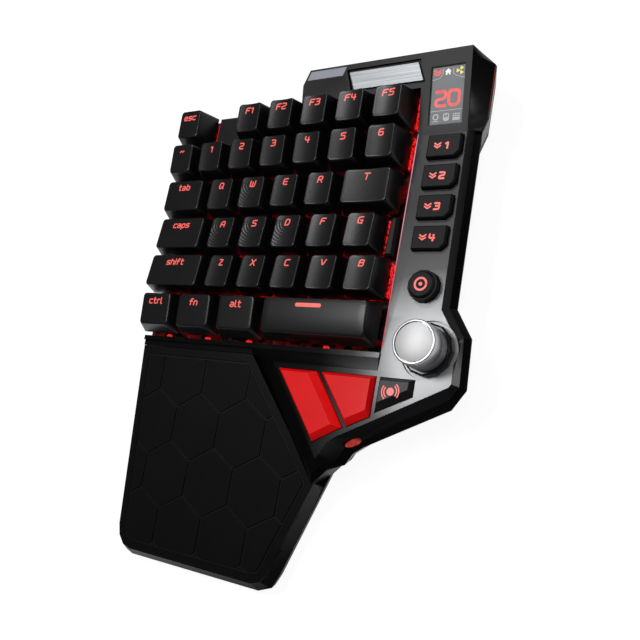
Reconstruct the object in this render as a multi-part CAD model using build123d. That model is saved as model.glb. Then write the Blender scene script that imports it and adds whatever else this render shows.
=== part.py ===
from build123d import *
import math
import os

# One-handed gaming keypad. Millimetres, +Z up, +Y towards the back.
# Drawn from the front left corner of the key field, then moved so that the origin
# is on the desk under the middle of the case.

# Key field
KEY_PITCH = 19.05
FIELD_COLUMNS = 7
FIELD_WIDTH = FIELD_COLUMNS * KEY_PITCH
ROW_COUNT = 6
FIELD_DEPTH = ROW_COUNT * KEY_PITCH

# Heights above the desk
FOOT_HEIGHT = 2.0
FLOOR_THICKNESS = 2.4
SEAM_HEIGHT = 6.2
DECK_HEIGHT = 21.5

# Levels measured down from the deck, and up from it
SHOULDER_DROP = 1.2
BELT_HIGH_DROP = 4.0
BELT_LOW_DROP = 4.5
REAR_BELT_HIGH_DROP = 1.0
REAR_BELT_LOW_DROP = 2.9
PLATE_DROP = 3.7
CAP_RIM_RISE = 2.3
KNOB_RISE = 14.5
BUSHING_RISE = 2.5

# Walls and general clearances
WALL = 2.2
DECK_THICKNESS = 2.2
CUT_OVERRUN = 1.0
FIT_GAP = 0.3
SNUG_GAP = 0.05

# Case plan: right panel, rear block, knob lobe and thumb deck
BAY_GAP = 0.95
BAY_FRONT = 2.2
PANEL_WIDTH = 27.8
PANEL_FLARE = 0.9
REAR_DEPTH = 16.0
REAR_LEFT = 70.5
REAR_CORNER_X = 4.5
REAR_CORNER_Y = 7.5
REAR_RIGHT_CORNER_X = 6.5
REAR_RIGHT_CORNER_Y = 6.15
FLANK_REACH = 2.7
FLANK_FRONT_GAP = 6.5
FLANK_START_GAP = 2.0
LOBE_REACH = 9.8
LOBE_START = 18.6
LOBE_BACK = 6.8
LOBE_FRONT = 13.5
LOBE_CORNER_X = 5.0
LOBE_CORNER_Y = 8.2
THUMB_EDGE_X = 131.5
THUMB_EDGE_Y = 40.7
TIP_SHOULDER_X = 127.0
TIP_SHOULDER_Y = 44.0
TIP_WAIST_X = 124.2
TIP_WAIST_Y = 48.9
TIP_HEEL_X = 116.2
TIP_HEEL_Y = 52.2
TIP_X = 110.0
TIP_Y = 59.0
LIP_LEFT = 69.0
LIP_FRONT = 7.0

# Bevels round the case, measured inwards from its widest outline
SEAM_INSET = 5.0
HEEL_SEAM_INSET = 2.2
WAIST_SEAM_INSET = 5.2
THUMB_SEAM_INSET = 3.6
BACK_SEAM_INSET = 2.2
BASE_INSET = 1.6
DECK_WALL_INSET = 4.4
SHOULDER_INSET = 2.0
RIM_INSET = 4.9
THUMB_SHOULDER_INSET = 3.0
WAIST_RIM_INSET = 10.7
BEND_RIM_INSET = 8.7
THUMB_RIM_INSET = 7.5
BEAM_INSET = 8.0
# Where the steep side of the beam starts along its line, as a share from the lip to the tip
beam_start_share = 0.06
# How far the shoulder has come in there, as a share of the way to the deck's corner
beam_shoulder_share = 0.4
# Corners of the deck's blunt tip, as shares of the edge beside it
tip_blunt_shares = [0.1, 0.3]

# Raised rear block and its sloping face
REAR_FACE_RUN = 36.75
REAR_TILT = 11.3
REAR_TOP_INSET = 0.8
FACET_INSET = 7.6
CREASE_INSET = 5.6
REAR_RIGHT_TRIM = 4.6

# Front lip, a low ridge that slopes down to the thumb deck
RIDGE_RISE = 1.0
RIDGE_WIDTH = 2.2
RIDGE_SLOPE = 5.2

# Palm rest
PALM_GAP = 0.2
PALM_BACK_DROP = 0.3
PALM_FRONT_RISE = 3.03
PALM_TIP_X = 109.6
PALM_TIP_Y = 59.3
PALM_FRONT_RIGHT_X = 95.6
PALM_FRONT_RIGHT_Y = 99.0
PALM_TOE_X = 92.7
PALM_TOE_Y = 104.8
PALM_FRONT_X = 86.0
PALM_FRONT_Y = 107.4
PALM_ROUND_X = 8.6
PALM_ROUND_Y = 10.4
PALM_TIP_RISE = 0.7
PALM_RIGHT_LEAN = 5.2
PALM_FRONT_LEAN = 2.4
PALM_CORNER_LEAN = 1.4
# The two middle corners of the rounded left front, as shares of its width and depth
palm_round_shares = [(0.134, 0.5), (0.5, 0.134)]
PAD_BORDER = 3.6
PAD_DEPTH = 2.0
PAD_BED = 1.6
PAD_PROUD = 0.3

# Key caps
CAP_RIM_INSET = 0.43
CAP_SIDE_INSET = 3.0
CAP_HEIGHT = 11.7
CAP_WALL = 1.25
CAP_CEILING = 1.3
CAP_CORNER = 0.7
CAP_TOP_CORNER = 1.3
CAP_DISH = 0.7
FRONT_ROW_EXTRA = 1.2
KEY_TRAVEL = 4.0
# Back and front edge of the top, as shares of the tallest cap, from the back row forwards
cap_top_shares = [
    (0.98, 0.92), (1.0, 0.91), (0.75, 0.755), (0.607, 0.71), (0.68, 0.795), (0.735, 0.6),
]
# Back and front inset of the top, as shares of the pitch, from the back row forwards
cap_lean_shares = [
    (0.052, 0.194), (0.039, 0.193), (0.027, 0.159), (0.043, 0.136), (0.064, 0.111), (0.106, 0.098),
]
# Each run of keys: its row from the back, the column where it starts, then its keys with
# their widths as shares of the pitch
row_width_shares = [
    (0, 0.0, [("esc", 1.0)]),
    (0, 2.0, [("f1", 1.0), ("f2", 1.0), ("f3", 1.0), ("f4", 1.0), ("f5", 1.0)]),
    (1, 0.0, [("grave", 1.0), ("1", 1.0), ("2", 1.0), ("3", 1.0), ("4", 1.0), ("5", 1.0), ("6", 1.0)]),
    (2, 0.0, [("tab", 1.5), ("q", 1.0), ("w", 1.0), ("e", 1.0), ("r", 1.0), ("t", 1.5)]),
    (3, 0.0, [("caps", 1.75), ("a", 1.0), ("s", 1.0), ("d", 1.0), ("f", 1.0), ("g", 1.0)]),
    (4, 0.0, [("shift", 2.0), ("z", 1.0), ("x", 1.0), ("c", 1.0), ("v", 1.0), ("b", 1.0)]),
    (5, 0.0, [("ctrl", 1.26), ("fn", 1.32), ("alt", 1.36), ("space", 3.06)]),
]
FLAT_CAPS = ["esc", "grave", "tab", "caps", "shift", "ctrl", "fn", "alt", "space"]

# Switches
PLATE_THICKNESS = 1.5
PLATE_HOLE = 14.0
HOUSING_BELOW_PLATE = 5.0
HOUSING_FLANGE = 15.6
HOUSING_TOP_WIDTH = 10.4
HOUSING_TOP_DEPTH = 10.0
HOUSING_RISE = 6.3
HOUSING_FLOOR = 0.9
SLIDER_WIDTH = 6.6
SLIDER_DEPTH = 5.6
SLIDER_GAP = 0.2
SLIDER_FLOOR_GAP = 0.5
SLIDER_PROUD = 0.5
CROSS_SPAN = 4.0
CROSS_WIDE = 1.2
CROSS_THIN = 1.0
CROSS_HEIGHT = 3.4
POST_RADIUS = 2.75

# Circuit boards
BOARD_THICKNESS = 1.6
BOARD_MARGIN = 3.0
BOARD_GAP = 0.8
LAMP_LENGTH = 3.0
LAMP_WIDTH = 1.4
LAMP_HEIGHT = 0.9
LAMP_OFFSET = 5.0
LAMP_POCKET_GAP = 0.4
STANDOFF_RADIUS = 1.9
STANDOFF_FOOT_RADIUS = 3.0
STANDOFF_GAP = 0.3

# Buttons on the panel and the thumb keys
BUTTON_GAP = 0.3
BUTTON_TRAVEL = 1.2
MACRO_COUNT = 4
MACRO_RIGHT_MARGIN = 6.0
MACRO_BACK_MARGIN = 1.5
MACRO_DEPTH = 10.3
MACRO_PITCH = 13.65
MACRO_CHAMFER = 2.3
MACRO_LEFT = 6.6
MACRO_RISE = 2.5
MACRO_EDGE = 0.5
MODE_RADIUS = 6.6
MODE_FACE_RADIUS = 5.7
MODE_RISE = 4.8
MODE_BEVEL = 1.4
MODE_SIDES = 12
MODE_FROM_RIGHT = 12.5
MODE_Y = 26.2
FLANGE_WIDTH = 0.5
FLANGE_THICKNESS = 0.9
FLANGE_GAP = 0.4
STEM_RADIUS = 1.6
TACT_SIZE = 6.0
TACT_HEIGHT = 3.5
PLUNGER_RADIUS = 1.5
PLUNGER_LENGTH = 2.6
PRESS_GAP = 0.2

# Thumb keys: outer edge and top face, as places right of the field's left edge
# and forwards of its front edge
THUMB_BACK = 12.2
THUMB_RISE = 2.5
THUMB_SKIRT = 0.5
THUMB_TOP_INSET = 1.3
THUMB_FAR_INSET = 3.4
THUMB_FRONT_INSET = 2.6
THUMB_RIB = 2.0
OUTER_KEY_LEFT = 85.5
OUTER_KEY_WIDTH = 19.8
OUTER_KEY_RUN_X = 23.8
OUTER_KEY_RUN_Y = 29.6
OUTER_KEY_FAR_X = 17.2
OUTER_KEY_FAR_Y = 22.0
MIDDLE_KEY_WIDTH = 26.4
MIDDLE_KEY_RUN_X = 16.6
MIDDLE_KEY_RUN_Y = 21.4
MIDDLE_KEY_SIDE = 16.4
INNER_KEY_WIDTH = 15.3
INNER_KEY_NEAR_SIDE = 14.2
INNER_KEY_FAR_SIDE = 6.6

# Knob and encoder
KNOB_FROM_RIGHT = 6.6
KNOB_Y = 0.3
KNOB_RADIUS = 9.1
KNOB_COLLAR_RADIUS = 10.9
KNOB_COLLAR_HEIGHT = 3.2
KNOB_SIDES = 12
KNOB_LIFT = 0.5
KNOB_CHAMFER = 0.6
KNOB_SHELL = 2.0
KNOB_HUB_RADIUS = 4.8
WELL_RADIUS = 12.2
WELL_DEPTH = 1.0
SHAFT_RADIUS = 3.0
SHAFT_GRIP = 8.0
SHAFT_LIFT = 1.6
BUSHING_RADIUS = 4.4
ENCODER_SIZE = 12.5
ENCODER_HEIGHT = 5.6

# Display, badge and light guides
GLASS_THICKNESS = 1.2
GLASS_SUNK = 0.2
GLASS_LEFT = 4.4
GLASS_START = 4.0
GLASS_RIGHT_MARGIN = 7.8
GLASS_BACK_MARGIN = 7.88
MODULE_THICKNESS = 3.0
MODULE_MARGIN = 1.2
BADGE_LENGTH = 35.4
BADGE_WIDTH = 8.6
BADGE_LEAN = 3.0
BADGE_THICKNESS = 1.2
BADGE_SUNK = 0.2
BADGE_LEFT = 99.7
BADGE_BACK_MARGIN = 4.48
BADGE_WELL_MARGIN = 1.2
REAR_WINDOW_LEFT = 73.6
REAR_WINDOW_LENGTH = 19.8
REAR_WINDOW_WIDTH = 4.0
REAR_WINDOW_LEAN = 2.0
REAR_WINDOW_BACK_MARGIN = 1.68
WINDOW_THICKNESS = 1.6
WINDOW_PROUD = 0.1
STRIP_THICKNESS = 0.8
STRIP_HEIGHT = 1.8
STRIP_BACK = 112.0
STRIP_DROP = 0.6
FLANK_STRIP_HEIGHT = 1.3
FLANK_STRIP_DEPTH = 1.2
FLANK_STRIP_MARGIN = 2.5
OVAL_X = 127.5
OVAL_Y = 39.6
OVAL_LENGTH = 8.0
OVAL_WIDTH = 3.0
OVAL_TURN = 25.0
OVAL_SUNK = 1.2
OVAL_THICKNESS = 2.0

# Filler blocks on the plate in the places without a key
FILLER_GAP = 0.7
FILLER_HEIGHT = 6.6
FILLER_CHAMFER = 2.6
FILLER_EDGE = 1.0

# Socket, feet and screws
SOCKET_X = 112.0
SOCKET_WIDTH = 9.0
SOCKET_HEIGHT = 3.3
SOCKET_DEPTH = 7.4
SOCKET_WALL = 0.35
SOCKET_BACK = 1.5
FOOT_LENGTH = 26.0
FOOT_WIDTH = 9.0
FOOT_POCKET = 0.6
FOOT_INSET = 13.5
LOBE_FOOT_INSET = 19.0
SCREW_RADIUS = 1.2
SCREW_HEAD_RADIUS = 2.5
SCREW_HEAD_HEIGHT = 1.2
SCREW_SUNK = 0.3
SCREW_GRIP = 7.0
BOSS_RADIUS = 2.8
BOSS_INSET = 8.0
BOSS_FLANK_INSET = 9.6
PALM_BOSS_FRONT = 69.3

# Places worked out from the sizes above
PANEL_LEFT = FIELD_WIDTH + BAY_GAP
PANEL_RIGHT = PANEL_LEFT + PANEL_WIDTH
BAY_BACK = FIELD_DEPTH + BAY_GAP
CASE_BACK = BAY_BACK + REAR_DEPTH
CREASE = CASE_BACK - REAR_FACE_RUN
FLANK_RIGHT = PANEL_RIGHT + FLANK_REACH
FLANK_FRONT = CREASE + FLANK_FRONT_GAP
FLANK_START = CREASE - FLANK_START_GAP
LOBE_RIGHT = PANEL_RIGHT + LOBE_REACH
MACRO_WIDTH = PANEL_WIDTH - MACRO_LEFT - MACRO_RIGHT_MARGIN
MACRO_FIRST = CREASE - MACRO_BACK_MARGIN - MACRO_DEPTH
MODE_X = PANEL_RIGHT - MODE_FROM_RIGHT
KNOB_X = PANEL_RIGHT - KNOB_FROM_RIGHT
FACE_LENGTH = REAR_FACE_RUN / math.cos(math.radians(REAR_TILT))
GLASS_WIDTH = PANEL_WIDTH - GLASS_LEFT - GLASS_RIGHT_MARGIN
GLASS_LENGTH = FACE_LENGTH - GLASS_START - GLASS_BACK_MARGIN
BADGE_START = FACE_LENGTH - BADGE_WIDTH - BADGE_BACK_MARGIN
REAR_WINDOW_START = FACE_LENGTH - REAR_WINDOW_WIDTH - REAR_WINDOW_BACK_MARGIN
SHOULDER_HEIGHT = DECK_HEIGHT - SHOULDER_DROP
BELT_HIGH = DECK_HEIGHT - BELT_HIGH_DROP
BELT_LOW = DECK_HEIGHT - BELT_LOW_DROP
REAR_BELT_HIGH = DECK_HEIGHT - REAR_BELT_HIGH_DROP
REAR_BELT_LOW = DECK_HEIGHT - REAR_BELT_LOW_DROP
DECK_UNDER = DECK_HEIGHT - DECK_THICKNESS
PLATE_TOP = DECK_HEIGHT - PLATE_DROP
RIM_HEIGHT = DECK_HEIGHT + CAP_RIM_RISE
KNOB_TOP = DECK_HEIGHT + KNOB_RISE
BUSHING_TOP = DECK_HEIGHT + BUSHING_RISE
PLATE_UNDER = PLATE_TOP - PLATE_THICKNESS
BOARD_TOP = PLATE_TOP - HOUSING_BELOW_PLATE
BOARD_UNDER = BOARD_TOP - BOARD_THICKNESS
FLOOR_TOP = FOOT_HEIGHT + FLOOR_THICKNESS
HOUSING_TOP = PLATE_TOP + HOUSING_RISE
SLIDER_TOP = HOUSING_TOP + SLIDER_PROUD
WELL_FLOOR = BOARD_TOP + HOUSING_FLOOR
SLIDER_UNDER = WELL_FLOOR + SLIDER_FLOOR_GAP + KEY_TRAVEL
FLANGE_TOP = DECK_UNDER - FLANGE_GAP
FLANGE_UNDER = FLANGE_TOP - FLANGE_THICKNESS
TACT_TOP = BOARD_TOP + TACT_HEIGHT
PLUNGER_TOP = TACT_TOP + PRESS_GAP + BUTTON_TRAVEL
SHAFT_LOW = BOARD_TOP + SHAFT_LIFT
TILT_SLOPE = math.tan(math.radians(REAR_TILT))
PALM_BACK_HEIGHT = DECK_HEIGHT - PALM_BACK_DROP
PALM_FRONT_HEIGHT = SEAM_HEIGHT + PALM_FRONT_RISE
PALM_FALL = (PALM_BACK_HEIGHT - PALM_FRONT_HEIGHT) / (PALM_FRONT_Y - LIP_FRONT)
CENTRE_X = LOBE_RIGHT / 2
CENTRE_Y = (CASE_BACK - PALM_FRONT_Y) / 2


def inset(points, distances):
    """Move each edge of a counterclockwise polygon inwards by its own distance."""
    count = len(points)
    moved = []
    for i in range(count):
        (ax, ay), (bx, by) = points[i], points[(i + 1) % count]
        length = math.hypot(bx - ax, by - ay)
        nx, ny = -(by - ay) / length, (bx - ax) / length
        moved.append((ax + nx * distances[i], ay + ny * distances[i], bx - ax, by - ay))
    result = []
    for i in range(count):
        px, py, ux, uy = moved[i - 1]
        qx, qy, vx, vy = moved[i]
        turn = ux * vy - uy * vx
        in_line = math.isclose(turn, 0, abs_tol=1e-9 * math.hypot(ux, uy) * math.hypot(vx, vy))
        step = 1 if in_line else ((qx - px) * vy - (qy - py) * vx) / turn
        result.append((px + ux * step, py + uy * step))
    return result


def meet(a, b, c, d):
    """The point where the line through a and b crosses the line through c and d."""
    ux, uy, vx, vy = b[0] - a[0], b[1] - a[1], d[0] - c[0], d[1] - c[1]
    step = ((c[0] - a[0]) * vy - (c[1] - a[1]) * vx) / (ux * vy - uy * vx)
    return (a[0] + ux * step, a[1] + uy * step)


def between(a, b, share):
    """The point at a share of the way from a to b."""
    return tuple(p + (q - p) * share for p, q in zip(a, b))


def even(points, distance):
    """Inset every edge of a polygon by one distance."""
    return inset(points, [distance] * len(points))


def at_height(points, height):
    return [(x, y, height) for x, y in points]


def on_tilt(points, drop=0):
    """Lift plan points onto the rear block's sloping face."""
    return [(x, y, DECK_HEIGHT - drop + (y - CREASE) * TILT_SLOPE) for x, y in points]


def palm_height(y):
    return PALM_BACK_HEIGHT + (y + LIP_FRONT) * PALM_FALL


def on_palm(points, drop=0):
    """Lift plan points onto the palm rest's sloping face."""
    return [(x, y, palm_height(y) - drop) for x, y in points]


def skin(lower, upper):
    """Close a solid between two polygons that have the same number of corners."""
    wires = [Wire.make_polygon([Vector(*p) for p in level], close=True) for level in (lower, upper)]
    return Solid.make_loft(wires, ruled=True)


def prism(points, low, high):
    return skin(at_height(points, low), at_height(points, high))


def block(low_x, high_x, low_y, high_y, low_z, high_z):
    box = Box(high_x - low_x, high_y - low_y, high_z - low_z)
    return Pos((low_x + high_x) / 2, (low_y + high_y) / 2, (low_z + high_z) / 2) * box


def rod(x, y, radius, low, high):
    return Pos(x, y, (low + high) / 2) * Cylinder(radius, high - low)


def cone(x, y, low_radius, high_radius, low, high):
    return Pos(x, y, (low + high) / 2) * Cone(low_radius, high_radius, high - low)


def regular(x, y, radius, sides, turn=0):
    """Corners of a regular polygon round a point."""
    angles = [turn + math.tau * i / sides for i in range(sides)]
    return [(x + radius * math.cos(a), y + radius * math.sin(a)) for a in angles]


def save(node, solids):
    """Write one node, moved from the key field's corner to the part's own origin."""
    shapes = []
    for shape in solids:
        shapes.extend(shape.solids())
    moved = [Pos(-CENTRE_X, -CENTRE_Y, 0) * s for s in shapes]
    export_step(moved[0] if len(moved) == 1 else Compound(children=moved), f"parts/{node}.step")


# Plan outlines, counterclockwise. The main outline is the right panel with the knob lobe
# and the thumb deck; the rear outline is the raised block behind the keys.
def main_outline():
    return [
        (PANEL_LEFT, -BAY_FRONT), (LIP_LEFT, -BAY_FRONT), (LIP_LEFT, -LIP_FRONT), (TIP_X, -TIP_Y),
        (TIP_HEEL_X, -TIP_HEEL_Y), (TIP_WAIST_X, -TIP_WAIST_Y), (TIP_SHOULDER_X, -TIP_SHOULDER_Y),
        (THUMB_EDGE_X, -THUMB_EDGE_Y),
        (LOBE_RIGHT - LOBE_CORNER_X, -LOBE_FRONT - LOBE_CORNER_Y), (LOBE_RIGHT, -LOBE_FRONT),
        (LOBE_RIGHT - PANEL_FLARE, LOBE_BACK), (PANEL_RIGHT + PANEL_FLARE, LOBE_START),
        (PANEL_RIGHT, FLANK_START), (PANEL_RIGHT, BAY_BACK), (PANEL_LEFT, BAY_BACK),
    ]


# Insets of the main outline's outer edges at the seam, from the tip to the back right corner
OUTER_SEAM_INSETS = ([HEEL_SEAM_INSET, THUMB_SEAM_INSET, WAIST_SEAM_INSET, THUMB_SEAM_INSET,
                      THUMB_SEAM_INSET] + [SEAM_INSET] * 5)
MAIN_SEAM_INSETS = [0, 0, 0] + OUTER_SEAM_INSETS + [0, 0]
MAIN_SHOULDER_INSETS = ([0, 0, THUMB_SHOULDER_INSET, SHOULDER_INSET, SHOULDER_INSET]
                        + [THUMB_SHOULDER_INSET] * 3 + [SHOULDER_INSET] * 5 + [0, 0])
MAIN_RIM_INSETS = ([0, 0, BEAM_INSET, WAIST_RIM_INSET, BEND_RIM_INSET, THUMB_RIM_INSET]
                   + [RIM_INSET] * 5 + [0, 0])


def flank_at(y):
    """The case's right edge where it widens into the rear flank."""
    return PANEL_RIGHT + FLANK_REACH * (y - FLANK_START) / (FLANK_FRONT - FLANK_START)


def rear_outline():
    return [
        (REAR_LEFT, BAY_BACK), (PANEL_LEFT, BAY_BACK), (PANEL_LEFT, CREASE), (flank_at(CREASE), CREASE),
        (FLANK_RIGHT, FLANK_FRONT), (FLANK_RIGHT, CASE_BACK - REAR_RIGHT_CORNER_Y),
        (FLANK_RIGHT - REAR_RIGHT_CORNER_X, CASE_BACK), (REAR_LEFT + REAR_CORNER_X, CASE_BACK),
        (REAR_LEFT, CASE_BACK - REAR_CORNER_Y),
    ]


def rear_face():
    """The sloping face of the rear block, in plan."""
    right = FLANK_RIGHT - FACET_INSET
    return [
        (REAR_LEFT + REAR_TOP_INSET, BAY_BACK), (PANEL_LEFT, BAY_BACK), (PANEL_LEFT, CREASE),
        (flank_at(CREASE) - CREASE_INSET, CREASE), (right, FLANK_FRONT),
        (right, CASE_BACK - REAR_RIGHT_TRIM), (right, CASE_BACK - REAR_TOP_INSET),
        (REAR_LEFT + REAR_CORNER_X, CASE_BACK - REAR_TOP_INSET),
        (REAR_LEFT + REAR_TOP_INSET, CASE_BACK - REAR_CORNER_Y),
    ]


REAR_SEAM_INSETS = [0, 0, 0] + [SEAM_INSET] * 2 + [BACK_SEAM_INSET] * 4


def palm_left(front):
    """The palm rest's left side down to a front line, with its rounded corner."""
    corner = [(PALM_ROUND_X * x, front + PALM_ROUND_Y * y) for x, y in palm_round_shares]
    return [(0, -LIP_FRONT - PALM_GAP), (0, front + PALM_ROUND_Y)] + corner + [(PALM_ROUND_X, front)]


def palm_outline():
    """The palm rest at the seam."""
    return palm_left(-PALM_FRONT_Y) + [
        (PALM_FRONT_X, -PALM_FRONT_Y), (PALM_TOE_X, -PALM_TOE_Y),
        (PALM_FRONT_RIGHT_X, -PALM_FRONT_RIGHT_Y), (PALM_TIP_X, -PALM_TIP_Y - PALM_GAP),
        (LIP_LEFT - PALM_GAP, -LIP_FRONT - PALM_GAP),
    ]


def palm_rim():
    """The palm rest's top edge, in plan."""
    front = -PALM_FRONT_Y + PALM_FRONT_LEAN
    return palm_left(front) + [
        (PALM_FRONT_X - PALM_FRONT_LEAN, front),
        (PALM_TOE_X - PALM_FRONT_LEAN * 2, -PALM_TOE_Y + PALM_CORNER_LEAN),
        (PALM_FRONT_RIGHT_X - PALM_RIGHT_LEAN, -PALM_FRONT_RIGHT_Y - PALM_CORNER_LEAN),
        (PALM_TIP_X, -PALM_TIP_Y + PALM_TIP_RISE), (LIP_LEFT - PALM_GAP, -LIP_FRONT - PALM_GAP),
    ]


def full_outline():
    """The whole keypad at its widest, for the bottom shell."""
    palm = palm_outline()
    main = main_outline()
    rear = rear_outline()
    return [(0, BAY_BACK)] + palm[:-2] + main[3:-2] + rear[4:] + [(REAR_LEFT, BAY_BACK)]


def full_seam_insets():
    """Insets at the seam of the whole outline's edges, in the same order."""
    return [0] + [0] * len(palm_outline()[:-2]) + OUTER_SEAM_INSETS[:-1] + REAR_SEAM_INSETS[3:] + [0]


def with_beam(points, corner):
    """Give a level of the main outline its extra corner where the beam begins."""
    return points[:2] + [(LIP_LEFT, -LIP_FRONT), corner] + points[3:]


def beam_start():
    run_x, run_y = TIP_X - LIP_LEFT, TIP_Y - LIP_FRONT
    return (LIP_LEFT + run_x * beam_start_share, -LIP_FRONT - run_y * beam_start_share)


def deck_corner():
    """The thumb deck's back left corner, at the foot of the lip's slope."""
    front = -BAY_FRONT - RIDGE_WIDTH - RIDGE_SLOPE
    run_x, run_y = TIP_X - LIP_LEFT, TIP_Y - LIP_FRONT
    along = (-front - LIP_FRONT) * run_x / run_y
    return (LIP_LEFT + along + BEAM_INSET * math.hypot(run_x, run_y) / run_y, front)


def main_rim():
    """The deck's edge. Its tip is where the beam and the waist would meet, a little blunted."""
    outline = main_outline()
    sharp = meet(outline[2], outline[3], outline[5], outline[6])
    rim = inset(outline[:3] + [sharp] + outline[6:], MAIN_RIM_INSETS)
    return rim[:4] + [between(rim[3], rim[4], share) for share in tip_blunt_shares] + rim[4:]


def hollow_outline():
    """The main outline with the lip's corner left off, for what lies inside the frame."""
    outline = main_outline()
    corner = meet(outline[2], outline[3], outline[0], outline[1])
    return [outline[0], corner] + outline[3:]


def main_levels():
    """The main part's outline at each height where its side changes slope."""
    outline = main_outline()
    start, corner = beam_start(), deck_corner()
    middle = between(start, corner, beam_shoulder_share)
    seam = with_beam(inset(outline, MAIN_SEAM_INSETS), start)
    widest = with_beam(outline, start)
    shoulder = with_beam(inset(outline, MAIN_SHOULDER_INSETS), middle)
    rim = with_beam(main_rim(), corner)
    return [(seam, SEAM_HEIGHT), (widest, BELT_LOW), (widest, BELT_HIGH), (shoulder, SHOULDER_HEIGHT),
            (rim, DECK_HEIGHT)]


def tilt_place():
    """The frame of the rear block's sloping face: x right, y up the slope, z out of the face."""
    return Pos(0, CREASE, DECK_HEIGHT) * Rot(REAR_TILT, 0, 0)


def on_face(points, low, high):
    """A prism standing on the rear block's sloping face."""
    return tilt_place() * prism(points, low, high)


def rectangle(left, bottom, width, depth):
    right, top = left + width, bottom + depth
    return [(left, bottom), (right, bottom), (right, top), (left, top)]


def leaning(left, bottom, width, depth, lean):
    """A parallelogram whose far edge is shifted sideways."""
    return [(left, bottom), (left + width, bottom), (left + width + lean, bottom + depth),
            (left + lean, bottom + depth)]


# Shapes of the panel buttons and thumb keys, in plan
def macro_shape(index):
    left = PANEL_LEFT + MACRO_LEFT
    right = left + MACRO_WIDTH
    front = MACRO_FIRST - index * MACRO_PITCH
    back = front + MACRO_DEPTH
    return [(left, front), (right - MACRO_CHAMFER, front), (right, front + MACRO_CHAMFER), (right, back),
            (left, back)]


def thumb_shapes():
    """Outer edges of the three thumb keys, each counterclockwise from its back left corner."""
    far_x = OUTER_KEY_LEFT + OUTER_KEY_WIDTH
    outer = [
        (OUTER_KEY_LEFT, -THUMB_BACK), (OUTER_KEY_LEFT + OUTER_KEY_RUN_X, -THUMB_BACK - OUTER_KEY_RUN_Y),
        (far_x + OUTER_KEY_FAR_X, -THUMB_BACK - OUTER_KEY_FAR_Y), (far_x, -THUMB_BACK),
    ]
    middle_left = far_x + THUMB_RIB * math.hypot(OUTER_KEY_FAR_X, OUTER_KEY_FAR_Y) / OUTER_KEY_FAR_Y
    middle_right = middle_left + MIDDLE_KEY_WIDTH
    middle = [
        (middle_left, -THUMB_BACK), (middle_left + MIDDLE_KEY_RUN_X, -THUMB_BACK - MIDDLE_KEY_RUN_Y),
        (middle_right, -THUMB_BACK - MIDDLE_KEY_SIDE), (middle_right, -THUMB_BACK),
    ]
    inner_left = middle_right + THUMB_RIB
    inner = [
        (inner_left, -THUMB_BACK), (inner_left, -THUMB_BACK - INNER_KEY_NEAR_SIDE),
        (inner_left + INNER_KEY_WIDTH, -THUMB_BACK - INNER_KEY_FAR_SIDE),
        (inner_left + INNER_KEY_WIDTH, -THUMB_BACK),
    ]
    return [outer, middle, inner]


THUMB_TOP_INSETS = [
    [THUMB_TOP_INSET, THUMB_FRONT_INSET, THUMB_FAR_INSET, THUMB_TOP_INSET],
    [THUMB_TOP_INSET, THUMB_FRONT_INSET, THUMB_TOP_INSET, THUMB_TOP_INSET],
    [THUMB_TOP_INSET, THUMB_FRONT_INSET, THUMB_TOP_INSET, THUMB_TOP_INSET],
]


def middle_of(points):
    """The point midway between a polygon's corners."""
    return sum(p[0] for p in points) / len(points), sum(p[1] for p in points) / len(points)


def button_shapes():
    """Every pressed piece in the deck: its name, plan outline and the place of its plunger."""
    shapes = [(f"macro_button_{i + 1}", macro_shape(i)) for i in range(MACRO_COUNT)]
    turn = math.pi / MODE_SIDES
    shapes.append(("mode_button", regular(MODE_X, MODE_Y, MODE_RADIUS, MODE_SIDES, turn)))
    names = ["thumb_key_outer", "thumb_key_middle", "thumb_key_inner"]
    shapes.extend(zip(names, thumb_shapes()))
    return [(name, points, middle_of(points)) for name, points in shapes]


# Places of the screws that hold the upper parts down
def frame_bosses():
    """Screw bosses of the top frame: place and the height that each one reaches."""
    rear = CASE_BACK - REAR_DEPTH / 2
    ridge = BAY_FRONT + WALL + BOSS_RADIUS
    gap_y = (MODE_Y + MODE_RADIUS + MACRO_FIRST - (MACRO_COUNT - 1) * MACRO_PITCH) / 2
    lift = (rear - CREASE) * TILT_SLOPE
    return [
        (MODE_X, gap_y, DECK_UNDER), (KNOB_X + BOSS_RADIUS, -LOBE_FRONT, DECK_UNDER),
        (TIP_WAIST_X - BOSS_RADIUS * 3, -TIP_WAIST_Y + BOSS_RADIUS * 2, DECK_UNDER),
        (PANEL_LEFT + BOSS_RADIUS, -ridge, DECK_UNDER),
        (REAR_LEFT + BOSS_INSET, rear, DECK_UNDER + lift),
        (FLANK_RIGHT - BOSS_FLANK_INSET, rear - BOSS_RADIUS * 2, DECK_HEIGHT - DECK_THICKNESS / 2),
    ]


def palm_bosses():
    """Screw bosses of the palm rest, near its corners."""
    left = WALL + BOSS_RADIUS * 3
    back = -LIP_FRONT - BOSS_RADIUS * 4
    places = [(left, back), (LIP_LEFT - left / 2, back), (left, -PALM_BOSS_FRONT),
              (PALM_FRONT_RIGHT_X - BOSS_RADIUS * 6, -PALM_BOSS_FRONT)]
    return [(x, y, palm_height(y) - PAD_DEPTH - PAD_BED / 2) for x, y in places]


def screw_places():
    return [(x, y) for x, y, _ in frame_bosses() + palm_bosses()]


def foot_places():
    """Rubber feet: centre and turn in degrees."""
    left = FOOT_WIDTH + FOOT_LENGTH / 2
    back = BAY_BACK - FOOT_INSET
    front = -PALM_FRONT_Y + FOOT_INSET
    return [
        (left, back, 0), (PANEL_RIGHT - left, back, 0), (left, front, 0),
        (PALM_FRONT_X - FOOT_LENGTH / 2, front, 0), (LOBE_RIGHT - LOBE_FOOT_INSET, LOBE_BACK / 2, 90),
    ]


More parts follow.
